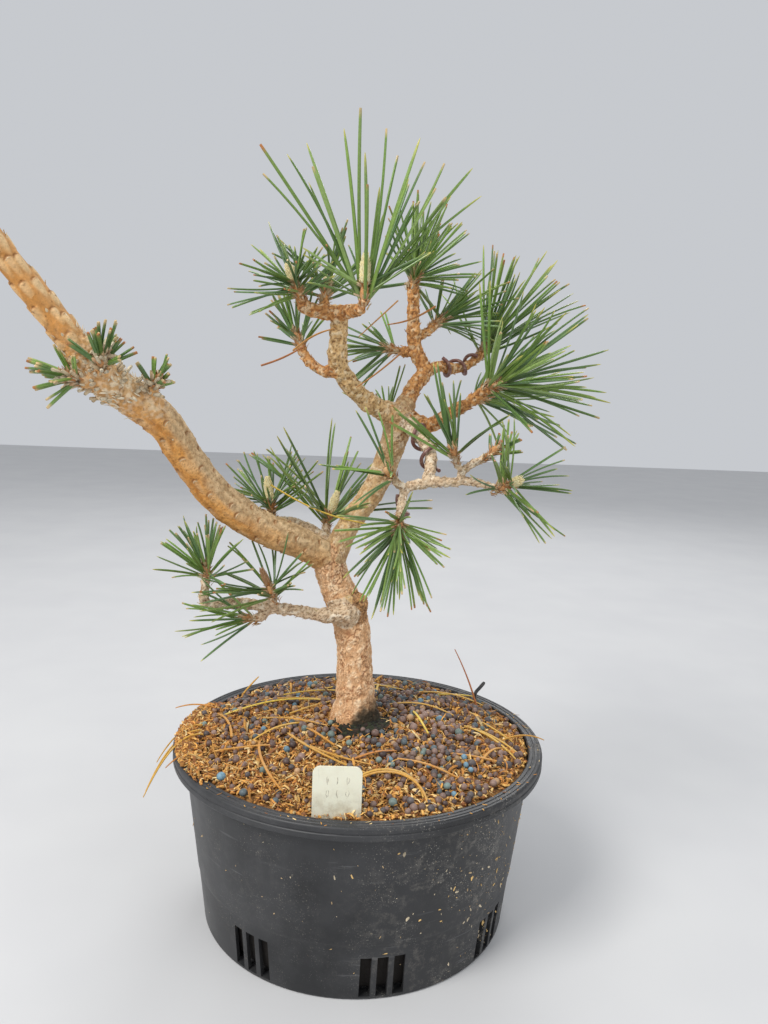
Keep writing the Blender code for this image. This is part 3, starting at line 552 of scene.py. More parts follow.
def dense_limb(name):
    """Closely spaced samples along a limb, with the swellings a real limb has."""
    samples = smooth_path(limb_points(name), LIMB_STEP)
    seed = sum(map(ord, name)) * 0.37
    thin = 1 - smoothstep(4 * MM, 8 * MM, samples[len(samples) // 2].w)
    travelled = 0.0
    out = []
    for a, b in zip(samples, [samples[0], *samples]):
        travelled += (a - b).xyz.length
        swell = noise.noise(Vector((travelled * 140, seed, 0))) * (0.06 + 0.13 * thin)
        knot = max(0, math.sin(travelled * 520 + seed)) ** 6 * 0.16 * thin
        out.append((Vector((*a.xyz, a.w * (1 + swell + knot))), travelled))
    return out


def all_limbs():
    """Each limb's samples, their distances along it, and the cross axes at each."""
    limbs = {}
    for name in LIMBS:
        dense = dense_limb(name)
        samples = [s for s, _ in dense]
        limbs[name] = samples, [t for _, t in dense], frames_along([s.xyz for s in samples])
    return limbs


LIMB_SAMPLES = all_limbs()


def limb_tree():
    """Every limb's samples in one search tree, and which limb each belongs to."""
    owners = []
    for name, (samples, along, frames) in LIMB_SAMPLES.items():
        owners += [(name, s, t, f) for s, t, f in zip(samples, along, frames)]
    tree = KDTree(len(owners))
    for i, (_, sample, _, _) in enumerate(owners):
        tree.insert(sample.xyz, i)
    tree.balance()
    return tree, owners


TREE, OWNERS = limb_tree()


def nearest_limb(point):
    """The limb sample whose surface lies nearest to a point."""
    best = None
    for _, index, distance in TREE.find_n(point, 8):
        gap = distance - OWNERS[index][1].w
        if best is None or gap < best[0]:
            best = (gap, index)
    return OWNERS[best[1]]


def scar_field(names, pitch):
    """Leaf scars in a spiral round limbs: a tree of their centres and their directions."""
    scars = []
    for name in names:
        samples, along, frames = LIMB_SAMPLES[name]
        count = int(along[-1] / pitch)
        rng = random.Random(name + "scars")
        for i in range(count):
            target = (i + rng.uniform(-0.9, 0.9)) * pitch
            k = min(range(len(along)), key=lambda j: abs(along[j] - target))
            u, v = frames[k]
            angle = i * GOLDEN + rng.uniform(-0.35, 0.35)
            radial = around(u, v, angle)
            ahead = (samples[min(k + 1, len(samples) - 1)] - samples[max(k - 1, 0)]).xyz.normalized()
            scars.append((samples[k].xyz + radial * samples[k].w, ahead, ahead.cross(radial), rng.random()))
    tree = KDTree(len(scars))
    for i, scar in enumerate(scars):
        tree.insert(scar[0], i)
    tree.balance()
    return tree, scars


def scar_shape(point, field):
    """The ridges below the leaf scars in mm, and how far a point is in a scar's pit or on its lip."""
    tree, scars = field
    height = dark = rim = 0.0
    for _, index, _ in tree.find_n(point, 7):
        centre, ahead, across, lot = scars[index]
        gap = (point - centre) / MM
        ds, dt = gap.dot(ahead), gap.dot(across)
        width = 1.7 + lot * 0.8
        taper = width * (0.45 + 0.55 * smoothstep(-13, -1.5, ds))
        body = math.exp(-((dt / taper) ** 4)) * smoothstep(-13, -2, ds) * (1 - smoothstep(-0.1, 0.8, ds))
        arc_gap = ds + 0.26 * dt * dt - 0.7
        pit = math.exp(-((arc_gap / 0.62) ** 2)) * (1 - smoothstep(1.5, 2.4, abs(dt)))
        height = max(height, body * (0.5 + 0.4 * lot))
        dark = max(dark, pit)
        rim = max(rim, body)
    return height - dark * 0.35, dark, rim


def limb_bark(name, point, normal, sample, frame_axes, s, fields):
    """The long limb: ridged, tan above and orange below, the orange partly its own colour and partly painted
    shade; smoother beyond the knuckle.
    """
    p = point / MM
    offset = point - sample.xyz
    angle = math.atan2(offset.dot(frame_axes[1]), offset.dot(frame_axes[0]))
    streak = noise.noise(Vector((math.cos(angle) * 3.2, math.sin(angle) * 3.2, s * 0.07)))
    young = smoothstep(172, 196, s) if name == "sacrifice" else 0.7
    height, dark, rim = scar_shape(point, fields[1] if young > 0.5 else fields[0])
    fine, grain = noise.noise(p * 1.3), noise.noise(p * 0.45)
    cloud = noise.noise(p * 0.08 + Vector((2, 9, 4)))
    # The side facing down and to the left is painted orange: partly the bark's own colour, partly painted
    # shade.
    under = normal.dot(Vector((-0.62, -0.20, -0.76)))
    orange_and_shade = smoothstep(-0.35, 0.5, under + cloud * 0.5 + streak * 0.35 + young * 0.35)
    calm = 1 - 0.6 * young
    tan = mix((0.43, 0.28, 0.14), (0.68, 0.48, 0.27), 0.55 + (streak * 0.8 + grain * 0.8) * calm)
    tan = mix(tan, (0.86, 0.56, 0.26), young * 0.7)
    orange = mix((0.54, 0.22, 0.045), (0.76, 0.38, 0.11), 0.55 + (streak * 0.8 + grain * 0.6) * calm)
    orange = mix(orange, (0.80, 0.40, 0.11), young * 0.6)
    colour = mix(tan, orange, orange_and_shade * (0.45 + 0.55 * smoothstep(25, 75, s)))
    colour = mix(colour, (0.56, 0.25, 0.07), (1 - smoothstep(0.05, 0.6, rim)) * 0.7 * young)
    height += rim * 0.7 * young
    colour = mix(colour, (0.84, 0.63, 0.38), rim * (0.30 + 0.2 * young))
    colour = mix(colour, (0.27, 0.12, 0.04), max(0, -fine - 0.05) * 1.2 * calm)
    colour = mix(colour, (0.24, 0.10, 0.03), dark * 0.95)
    knuckle = math.exp(-(((s - KNUCKLE_AT) / 20) ** 2)) if name == "sacrifice" else 0.5
    height += (1 - young) * (grain * 0.4 + fine * 0.4 + streak * 0.4)
    height += knuckle * (noise.noise(p * 0.28) * 1.6 + fine * 0.7)
    mottled = smoothstep(-0.2, 0.3, noise.noise(p * 0.5))
    return height, mix(colour, mix((0.60, 0.36, 0.16), (0.88, 0.75, 0.54), mottled), knuckle * 0.8)


def bark_at(point, normal, fields):
    """Displacement in mm and colour of the bark at a point of the wood's surface."""
    name, sample, along, axes = nearest_limb(point)
    s = along / MM
    if name in ("sacrifice", "node_left", "node_top", "node_back", "elbow_spur"):
        return limb_bark(name, point, normal, sample, axes, s, fields)
    p = point / MM
    fine, grain = noise.noise(p * 1.5), noise.noise(p * 0.42)
    old = smoothstep(6.0, 8.5, sample.w / MM)
    warp = Vector((grain,
                   noise.noise(p * 0.42 + Vector((9, 0, 0))),
                   noise.noise(p * 0.42 + Vector((0, 9, 0)))))
    spot = Vector((p.x * 0.52, p.y * 0.52, p.z * 0.30)) + warp * 0.8 + Vector((fine, fine, fine)) * 0.15
    distances, _ = noise.voronoi(spot)
    fade = smoothstep(-0.3, 0.25, noise.noise(p * 0.13 + Vector((4, 4, 4))))
    crack = (1 - smoothstep(0.02, 0.17, distances[1] - distances[0])) * (0.5 + 0.5 * fade)
    small, _ = noise.voronoi(spot * 2.1 + Vector((5, 5, 5)))
    crack = max(crack, (1 - smoothstep(0.0, 0.11, small[1] - small[0])) * 0.6 * (1 - fade * 0.5))
    plate = noise.noise(spot * 0.7 + Vector((3, 1, 8)))
    wrinkle = math.sin(s * 1.9 + grain * 5) * smoothstep(72, 84, s) * 0.25 if name == "trunk" else 0
    height = old * (0.6 * plate - 0.9 * crack + 0.35 * grain + 0.35 * fine + wrinkle)
    knobs = noise.noise(p * 0.62 + Vector((1, 5, 2)))
    height += (1 - old) * (0.75 * grain + 0.75 * knobs + 0.45 * fine)
    low, middle, high = LEADER_BARK if name == "leader" else TRUNK_BARK
    trunk = mix(mix(low, middle, 0.5 + plate * 1.1), high, smoothstep(0.2, 0.7, plate + fine * 0.6))
    trunk = mix(trunk, (0.30, 0.12, 0.05), crack * 0.9)
    palette = twig_palette(name)
    tone = 0.5 + knobs * 0.9 + grain * 0.5
    twig = mix(palette[0], palette[1], tone * 1.4)
    light = smoothstep(0.1, 0.45, noise.noise(p * 0.34 + Vector((5, 5, 5))) + knobs * 0.3)
    twig = mix(twig, palette[2], light)
    twig = mix(twig, BARK_DARK, smoothstep(0.12, 0.5, -fine - knobs * 0.5) * 0.8)
    colour = mix(twig, trunk, old)
    if name == "old_scar" and point.x - TREE_FOOT.x > -4 * MM:
        flaky = smoothstep(-0.2, 0.3, fine + grain * 0.5)
        colour = mix(colour, mix(BARK_DARK, (0.52, 0.26, 0.10), flaky), 0.8)
        height += fine + 0.8 * grain
    rise = point.z - SOIL_TOP + noise.noise(p * 0.25) * 4 * MM
    east = smoothstep(-7 * MM, 7 * MM, point.x - TREE_FOOT.x)
    damp = 1 - smoothstep(1 * MM, 9 * MM, rise)
    wet = (1 - smoothstep(2 * MM, (4 + 9 * east) * MM, rise - 5 * MM * east)) * smoothstep(0.05, 0.45, east)
    colour = mix(colour, (0.44, 0.20, 0.07), damp * 0.45)
    return height, mix(colour, (0.018, 0.017, 0.010), wet * 0.97)


OLD_SCARS = scar_field(["sacrifice"], 2.3 * MM)
YOUNG_SCARS = scar_field(["sacrifice"], 3.4 * MM)


def build_wood():
    """All the limbs melted into one skin, then given bark."""
    sink = Sink()
    for samples, _, _ in LIMB_SAMPLES.values():
        points = [s.xyz for s in samples]
        radii = [max(s.w - 0.15 * MM, 0.8 * MM) for s in samples]
        sink.tube(points, radii, LIMB_SIDES, [WHITE] * len(points))
    obj = sink.object("trunk_and_branches", BARK, smooth=False)
    remesh = obj.modifiers.new("remesh", "REMESH")
    remesh.mode = "VOXEL"
    remesh.voxel_size = VOXEL
    obj.modifiers.new("smooth", "SMOOTH").iterations = SMOOTHINGS
    solid = bpy.data.meshes.new_from_object(obj.evaluated_get(bpy.context.evaluated_depsgraph_get()))
    bpy.data.objects.remove(obj, do_unlink=True)
    count = len(solid.vertices)
    co = np.empty(count * 3, np.float32)
    solid.vertices.foreach_get("co", co)
    normals = np.empty(count * 3, np.float32)
    solid.vertex_normals.foreach_get("vector", normals)
    co, normals = co.reshape(-1, 3), normals.reshape(-1, 3)
    fields = OLD_SCARS, YOUNG_SCARS
    colours = np.ones((count, 4), np.float32)
    for i in range(count):
        point, normal = Vector(co[i]), Vector(normals[i])
        height, colour = bark_at(point, normal, fields)
        co[i] += normals[i] * (height * BARK_DEPTH * MM)
        colours[i, :3] = colour
    solid.vertices.foreach_set("co", co.ravel())
    solid.color_attributes.new("tint", "FLOAT_COLOR", "POINT").data.foreach_set("color", colours.ravel())
    solid.name = "trunk_and_branches"
    solid.materials.clear()
    wood = finished("trunk_and_branches", solid, BARK, angle=80)
    attach(wood, "trunk_and_limbs")


# ---------------------------------------------------------------- scales, needles and buds


def flake(sink, root, along, out, length, width, colour, curl=0.5):
    """A small papery scale: a curved blade that lies along a twig and lifts off at its tip."""
    across = along.cross(out).normalized()
    verts, tints = [], []
    rows = ((0, 0.75, 0.0), (0.4, 1, 0.12), (0.75, 0.75, 0.4), (1, 0.12, 0.8))
    for share, wide, lift in rows:
        middle = root + along * length * share + out * length * (lift * curl + 0.05)
        for side in (-1, 0, 1):
            verts.append(middle + across * side * width * wide / 2 - out * abs(side) * width * 0.22)
            tints.append(mix(scaled(colour, 0.7), colour, 0.3 + share))
    thick = out * -0.12 * MM
    verts += [v + thick for v in verts]
    tints += tints
    half = len(rows) * 3
    faces = []
    for row in range(len(rows) - 1):
        for column in (0, 1):
            a = row * 3 + column
            faces.append((a, a + 1, a + 4, a + 3))
            faces.append((half + a, half + a + 3, half + a + 4, half + a + 1))
    rim = [0, 1, 2, 5, 8, 11, 10, 9, 6, 3]
    faces += [(b, a, half + a, half + b) for a, b in zip(rim, rim[1:] + rim[:1])]
    sink.add(verts, faces, tints)


CREAM, PAPER, RUST = (0.62, 0.52, 0.36), (0.50, 0.36, 0.20), (0.42, 0.17, 0.05)
GREENS = (
    (0.110, 0.185, 0.034), (0.145, 0.235, 0.045), (0.070, 0.135, 0.030), (0.190, 0.285, 0.075),
    (0.095, 0.175, 0.062), (0.120, 0.215, 0.036), (0.080, 0.150, 0.042),
)
# Needle lengths in mm that count as long and as short.
LONG_NEEDLE, SHORT_NEEDLE = 55, 27
# Shares of a needle's length at which it is drawn, how many of them may touch the wood, and its
# thickness there with a cut tip and with a point.
STATIONS, FREE_STATIONS = (0, 0.04, 0.12, 0.25, 0.4, 0.55, 0.7, 0.84, 0.94, 0.98, 1), 3
CUT_THICKNESS = (0.75, 0.9, 1, 1, 1, 1, 1, 0.95, 0.88, 0.84, 0.72)
POINT_THICKNESS = (0.75, 0.9, 1, 1, 1, 1, 0.97, 0.88, 0.66, 0.4, 0.12)
# Round a bud, needles lean out at least this far in degrees, so that the bud shows from the front.
FRONT_LEAN, BACK_LEAN = 66, 30
# How often a pair is tried again, the apex needles' radius, and the stubs on a knuckle shoot.
NEEDLE_TRIES, APEX_NEEDLE_R, CORE_STUBS = 8, 0.95 * MM, 26
KNUCKLE_SHOOTS = ("node", "elbow")
# Needles without a bud among them lean into this many tufts, this far apart in radians.
TUFTS, TUFT_TURN = 3, 2.1
TIP_TAN, TIP_YELLOW, TIP_RUST = (0.55, 0.40, 0.20), (0.50, 0.45, 0.10), (0.40, 0.16, 0.05)


def shoot_frame(name):
    """Where a shoot's core starts, which way it points, and how thick its twig is."""
    limb, direction = SHOOTS[name][:2]
    points = limb_points(limb)
    tip = points[-1]
    axis = Vector(direction).normalized()
    along = (tip.xyz - points[-2].xyz).normalized()
    lift = CLEARANCE + tip.w * math.sqrt(max(0, 1 - axis.dot(along) ** 2))
    return tip.xyz + axis * lift, axis, tip.w


def hits_wood(points):
    """Whether any of these points lies in, or just off, the wood."""
    for point in points:
        for _, index, distance in TREE.find_n(point, 3):
            if distance < OWNERS[index][1].w + 0.5 * MM:
                return True
    return False


def needle(sink, rng, root, direction, length, radius, cut, bend, green):
    """One needle: flat inside, round outside, gently bent, ending in a point or a cut."""
    sideways = direction.cross(UP)
    sideways = sideways.normalized() if sideways.length > 0.05 else direction.orthogonal().normalized()
    lean = sideways.cross(direction)
    turn = rng.uniform(0, math.tau)
    pull = around(sideways, lean, turn) * bend
    wave = rng.uniform(-0.4, 0.4)
    points = []
    for t in STATIONS:
        drift = pull * (t * t + wave * t * (1 - t)) - UP * 0.04 * t * t
        points.append(root + direction * length * t + drift * length)
    if hits_wood(points[FREE_STATIONS:]):
        return False
    thick = CUT_THICKNESS if cut else POINT_THICKNESS
    tip = (TIP_TAN if rng.random() < 0.7 else TIP_RUST) if cut else TIP_YELLOW
    pale = mix(scaled(green, 1.35), (0.24, 0.33, 0.10), 0.25)
    if cut:
        length_of_tip = rng.uniform(0.012, 0.05) * (3 if length < SHORT_NEEDLE * MM else 1)
    else:
        length_of_tip = rng.uniform(0.02, 0.07)
    colours = []
    for t in STATIONS:
        shade = mix(mix(green, (0.16, 0.20, 0.06), 0.5), green, t * 5)
        shade = mix(shade, pale, smoothstep(0.45, 0.95, t) * 0.6)
        colours.append(mix(shade, tip, smoothstep(1 - length_of_tip * 1.6, 1 - length_of_tip * 0.4, t)))
    sink.tube(points, taper(radius, thick), 6, colours, flat=0.72, face=pull.normalized() if bend else lean)
    return True


def fascicle(sink, scales, rng, root, direction, length, cut, radius, bend=0.14):
    """Two needles out of one papery sheath."""
    green = scaled(rng.choice(GREENS), rng.uniform(0.8, 1.25))
    spread = direction.orthogonal().normalized()
    spread.rotate(Matrix.Rotation(rng.uniform(0, math.tau), 3, direction))
    start = root + direction * 2 * MM
    made = 0
    for side in (-1, 1):
        way = (direction + spread * side * rng.uniform(0.02, 0.10)).normalized()
        reach = length * rng.uniform(0.86, 1.0)
        made += needle(sink, rng, start + spread * side * 0.3 * MM - way * 2 * MM, way, reach, radius, cut,
                       rng.uniform(0.01, bend), green)
    if made:
        sheath = mix(mix(RUST, PAPER, rng.random()), CREAM, rng.random() * 0.6)
        points = [root + direction * d * MM for d in (-0.6, 0.8, 2.4, 3.8)]
        scales.tube(points, taper(radius, (0.7, 1.15, 1.15, 0.85)), 6, shades(sheath, (0.5, 0.8, 1, 1.1)))
    return made


def stub(sink, rng, root, direction, length):
    """What is left of a needle pair after it was cut or fell: a short papery sheath."""
    colour = mix(mix(CREAM, PAPER, rng.random()), (0.70, 0.64, 0.50), rng.random() * 0.6)
    bend = direction.orthogonal().normalized() * rng.uniform(-0.15, 0.15)
    points = [root + (direction + bend * t) * length * t for t in (-0.2, 0.3, 0.65, 0.9, 1)]
    sink.tube(points, taper(MM, (0.8, 1.0, 0.95, 0.9, 0.6)), 6, shades(colour, (0.5, 0.8, 1, 1, 0.6)))


def shoot_core(scales, base, axis, tip_radius):
    """The stub of twig that the shoot's needles stand on."""
    core = [base + axis * CORE_LENGTH * t for t in (-0.25, 0.0, 0.3, 0.65, 0.9, 1.0)]
    widths = [tip_radius * 0.7, tip_radius * 1.0, 2.4 * MM, 2.1 * MM, 1.6 * MM, 0.8 * MM]
    scales.tube(core, widths, 10, [mix(BARK_RUST, BARK_TAN, t) for t in (0.6, 0.4, 0.3, 0.4, 0.6, 0.8)])


def needle_pairs(name, rng, needles, scales, u, v):
    """All the pairs of a shoot; one that would run into the wood is tried again another way."""
    _, _, pairs, length, least, most, cut_share, leafy = SHOOTS[name]
    base, axis, _ = shoot_frame(name)
    has_bud = any(shoot == name for shoot, _, _ in BUDS.values())
    knuckle = name.startswith(KNUCKLE_SHOOTS)
    radius = (0.98 if knuckle else 0.8 if length > LONG_NEEDLE else 0.7) * MM
    tufts = [(axis + around(u, v, i * TUFT_TURN) * rng.uniform(0.1, 0.38)).normalized() for i in range(TUFTS)]
    for i in range(pairs):
        share = (i + 0.5) / pairs
        angle = i * GOLDEN + rng.uniform(-0.6, 0.6)
        middle = axis if has_bud else tufts[i % TUFTS]
        radial = around(u, v, angle)
        place = (share * 1.1 - 0.25) * min(leafy * MM, CORE_LENGTH * 1.3)
        for _ in range(NEEDLE_TRIES):
            lean = math.radians(most + (least - most) * share**0.8 + rng.gauss(0, 11))
            floor_lean = least
            if has_bud:
                floor_lean = FRONT_LEAN if -radial.y > -0.1 else BACK_LEAN
            lean = max(lean, math.radians(floor_lean * rng.uniform(0.8, 1.2)))
            direction = around(middle, radial, lean).normalized()
            out = 2.0 - max(share - 0.5, 0)
            root = base + axis * min(place, CORE_LENGTH * 0.92) + radial * out * MM
            reach = length * MM * (rng.uniform(0.5, 0.8) if rng.random() < 0.3 else rng.uniform(0.78, 1.04))
            if fascicle(needles, scales, rng, root, direction, reach, rng.random() < cut_share, radius,
                        0.06 if knuckle else 0.16):
                break
            nudge = Vector((rng.uniform(-1, 1), rng.uniform(-1, 1), rng.uniform(-0.3, 1)))
            radial = (radial + nudge).normalized()
            radial = (radial - axis * radial.dot(axis)).normalized()


def apex_needles(rng, needles, base, axis):
    """The long needles of the treetop, each with a shorter partner."""
    for lean, reach in APEX_NEEDLES:
        a = math.radians(lean)
        direction = Vector((math.sin(a), rng.uniform(-0.16, 0.10), math.cos(a))).normalized()
        side = (direction - axis * direction.dot(axis)).normalized()
        root = base - axis * 1.0 * MM + side * rng.uniform(1.2, 2.4) * MM
        green = scaled(rng.choice(GREENS), rng.uniform(0.85, 1.15))
        cut, bend = rng.random() < 0.4, rng.uniform(0.02, 0.10)
        needle(needles, rng, root, direction, reach * MM, APEX_NEEDLE_R, cut, bend, green)
        sway = Vector((rng.uniform(-0.02, 0.02), rng.uniform(-0.04, 0.03), 0))
        partner = (direction + sway).normalized()
        shorter = reach * rng.uniform(0.7, 0.97) * MM
        needle(needles, rng, root + side * 0.6 * MM, partner, shorter, APEX_NEEDLE_R,
               rng.random() < 0.4, rng.uniform(0.0, 0.10), scaled(green, 1.1))


def core_scales(scales, rng, base, axis, u, v, tip_radius, count):
    """Small papery scales all round a shoot's core and down onto its twig."""
    for i in range(count):
        radial = around(u, v, i * GOLDEN)
        t = rng.uniform(-1.0, 0.95)
        spot = base + axis * t * CORE_LENGTH + radial * (1.9 * MM if t > 0 else tip_radius * 0.95)
        colour = mix(rng.choice((CREAM, PAPER, RUST, RUST, PAPER)), BARK_TAN, rng.random() * 0.4)
        flake(scales, spot, (axis + radial * rng.uniform(0.1, 0.5)).normalized(), radial,
              rng.uniform(1.4, 3.2) * MM, rng.uniform(0.7, 1.4) * MM, colour, rng.uniform(0.2, 0.9))


def core_stubs(scales, rng, base, axis, u, v):
    """Cut needle stubs round the shoots of the long limb's swelling."""
    for i in range(CORE_STUBS):
        lean = math.radians(rng.uniform(10, 85))
        radial = around(u, v, i * GOLDEN)
        direction = around(axis, radial, lean).normalized()
        stub(scales, rng, base + axis * rng.uniform(-5, 5) * MM + radial * 2 * MM, direction,
             rng.uniform(3, 7.5) * MM)


def build_shoot(name):
    """One shoot's needles, and the papery piece they stand on."""
    base, axis, tip_radius = shoot_frame(name)
    rng = random.Random("shoot " + name)
    needles, scales = Sink(), Sink()
    u = axis.orthogonal().normalized()
    v = axis.cross(u)
    shoot_core(scales, base, axis, tip_radius)
    needle_pairs(name, rng, needles, scales, u, v)
    if name == "apex":
        apex_needles(rng, needles, base, axis)
    leafy = SHOOTS[name][-1]
    core_scales(scales, rng, base, axis, u, v, tip_radius, 34 + leafy * 4)
    if name.startswith(KNUCKLE_SHOOTS):
        core_stubs(scales, rng, base, axis, u, v)
    attach(needles.object("needles_" + name, NEEDLE), "needles_" + name)
    attach(scales.object("sheaths_" + name, SCALE), "needles_" + name)


CANDLE_TINTS, BUD_TINTS = ((0.93, 0.86, 0.55), (0.78, 0.60, 0.28)), ((0.50, 0.29, 0.15), (0.30, 0.14, 0.06))


def build_bud(name):
    """A bud: a tapered body under a spiral of pointed scales."""
    shoot, length, candle = BUDS[name]
    base, axis, _ = shoot_frame(shoot)
    foot = base + axis * (CORE_LENGTH - 0.5 * MM)
    u = axis.orthogonal().normalized()
    v = axis.cross(u)
    sink = Sink()
    rng = random.Random(name)
    reach = length * MM
    body = (2.45 if candle else 1.7) * MM
    profile = [(0, 0.8), (0.15, 1), (0.4, 1.05), (0.65, 0.9), (0.85, 0.6), (1, 0.18)]
    pale, edge = CANDLE_TINTS if candle else BUD_TINTS
    sink.tube([foot + axis * reach * t for t, _ in profile], [body * w for _, w in profile], 12,
              [mix(edge, pale, t) for t, _ in profile])
    rows = int(length * 2.6)
    for i in range(rows * 4):
        t = (i + 0.5) / (rows * 4)
        angle = i * GOLDEN
        radial = around(u, v, angle)
        width = body * (1.02 if t < 0.6 else 1.02 - (t - 0.6) * 1.5)
        tint = mix(pale, edge, rng.random() * 0.7)
        spot = foot + axis * reach * t * 0.93 + radial * width
        way = (axis + radial * 0.12).normalized()
        flake(sink, spot, way, radial, rng.uniform(1.3, 2.0) * MM, 1.0 * MM, tint, 0.25)
    bud = sink.object(name, BUD)
    attach(bud, name)


def limb_flakes(sink, rng, name):
    """Papery flakes along one limb, thick on its swelling and on thin twigs."""
    samples, _, frames = LIMB_SAMPLES[name]
    for k in range(2, len(samples) - 1):
        radius = samples[k].w
        if name == "sacrifice":
            near = math.exp(-(((samples[k].x - KNUCKLE_X) / (13 * MM)) ** 2))
            amount = 7 * near if near > 0.15 else 0.12
        else:
            amount = 1.2 * (1 - smoothstep(3 * MM, 6 * MM, radius)) + 0.1
        big = name == "sacrifice" and amount > 1
        for _ in range(int(amount + rng.random())):
            u, v = frames[k]
            radial = around(u, v, rng.uniform(0, math.tau))
            ahead = (samples[k + 1] - samples[k - 1]).xyz.normalized()
            lift, drift = rng.uniform(0.02, 0.3), rng.uniform(-0.5, 0.5)
            way = (ahead + radial * lift + ahead.cross(radial) * drift).normalized()
            spot = samples[k].xyz + radial * (radius - 0.1 * MM)
            owner = nearest_limb(spot)
            if name not in owner[0] and owner[1].w > radius * 1.05:
                continue
            size = rng.uniform(2.0, 4.5) if big else rng.uniform(1.0, 2.6)
            if big:
                tint = mix((0.90, 0.80, 0.60), PAPER, rng.random() * 0.4)
            else:
                tint = rng.choice(twig_palette(name) + (PAPER,))
            width = rng.uniform(0.7, 1.5) * MM
            flake(sink, spot, way, radial, size * MM, width, tint, rng.uniform(0.05, 0.8 if big else 0.4))


def scar_lips(sink, rng):
    """The raised crescent below each leaf scar of the long limb."""
    for scars, of_young in ((OLD_SCARS[1], False), (YOUNG_SCARS[1], True)):
        for centre, ahead, across, lot in scars:
            name, sample, along, _ = nearest_limb(centre)
            young = along > YOUNG_FROM
            if name != "sacrifice" or young != of_young or along < 6 * MM:
                continue
            radial = (centre - sample.xyz).normalized()
            tint = mix((0.62, 0.48, 0.30), (0.42, 0.22, 0.09), rng.random())
            width = (1.7 + 0.9 * lot) * MM
            lip = []
            for t in (-1, -0.6, 0, 0.6, 1):
                spot = centre + (across * t * width * 0.8 - ahead * t * t * 0.9 * MM - ahead * 0.2 * MM)
                outward = (spot - sample.xyz - ahead * (spot - sample.xyz).dot(ahead)).normalized()
                lip.append(spot + outward * (0.25 * MM * (1 - t * t)) + radial * 0.12 * MM)
            high = 1.0 if young else 0.85
            sink.tube(lip, [k * high * MM for k in (0.2, 0.42, 0.5, 0.42, 0.2)], 6,
                      shades(tint, (0.8, 1, 1.1, 1, 0.8)), flat=0.7)


def knuckle_stubs(sink, rng):
    """Broken sheaths that bristle from the long limb's swelling."""
    samples = LIMB_SAMPLES["sacrifice"][0]
    ahead = Vector((-0.56, -0.38, 0.74))
    for _ in range(KNUCKLE_STUBS):
        along = rng.gauss(KNUCKLE_AT, 8) * MM
        sample = samples[min(int(along / LIMB_STEP), len(samples) - 1)]
        radial = Vector((rng.gauss(0, 1), rng.gauss(0, 1), rng.gauss(0, 1)))
        radial = (radial - ahead * radial.dot(ahead)).normalized()
        way = (radial + ahead * rng.uniform(0, 0.9)).normalized()
        stub(sink, rng, sample.xyz + radial * (sample.w - 0.5 * MM), way, rng.uniform(2.5, 6) * MM)


def build_twig_scales():
    """Loose scales and broken sheaths that cling to the thin limbs."""
    sink = Sink()
    rng = random.Random("twig scales")
    for name in LIMB_SAMPLES:
        if name not in ("trunk", "old_scar"):
            limb_flakes(sink, rng, name)
    scar_lips(sink, rng)
    knuckle_stubs(sink, rng)
    attach(sink.object("twig_scales", SCALE))


# ---------------------------------------------------------------- pot


def wall_radius(height):
    """The pot's outer radius at a height."""
    return FOOT_R + (MOUTH_R - FOOT_R) * height / (POT_HEIGHT - POT_WALL)


def turned(profile, segments):
    """A closed skin made by turning a section round the upright axis."""
    bm = bmesh.new()
    points = [bm.verts.new((r, 0, z)) for r, z in profile]
    edges = [bm.edges.new(pair) for pair in zip(points, points[1:])]
    bmesh.ops.spin(bm, geom=points + edges, axis=UP, cent=(0, 0, 0), angle=math.tau, steps=segments)
    bmesh.ops.remove_doubles(bm, verts=bm.verts, dist=MM / 100)
    bmesh.ops.recalc_face_normals(bm, faces=bm.faces)
    if bm.calc_volume(signed=True) < 0:
        bmesh.ops.reverse_faces(bm, faces=bm.faces)
    return bm


def arc(cx, cz, radius, start, end, steps):
    """Points on an arc, its angles in degrees."""
    points = []
    for i in range(steps + 1):
        angle = math.radians(start + (end - start) * i / steps)
        points.append((cx + radius * math.cos(angle), cz + radius * math.sin(angle)))
    return points


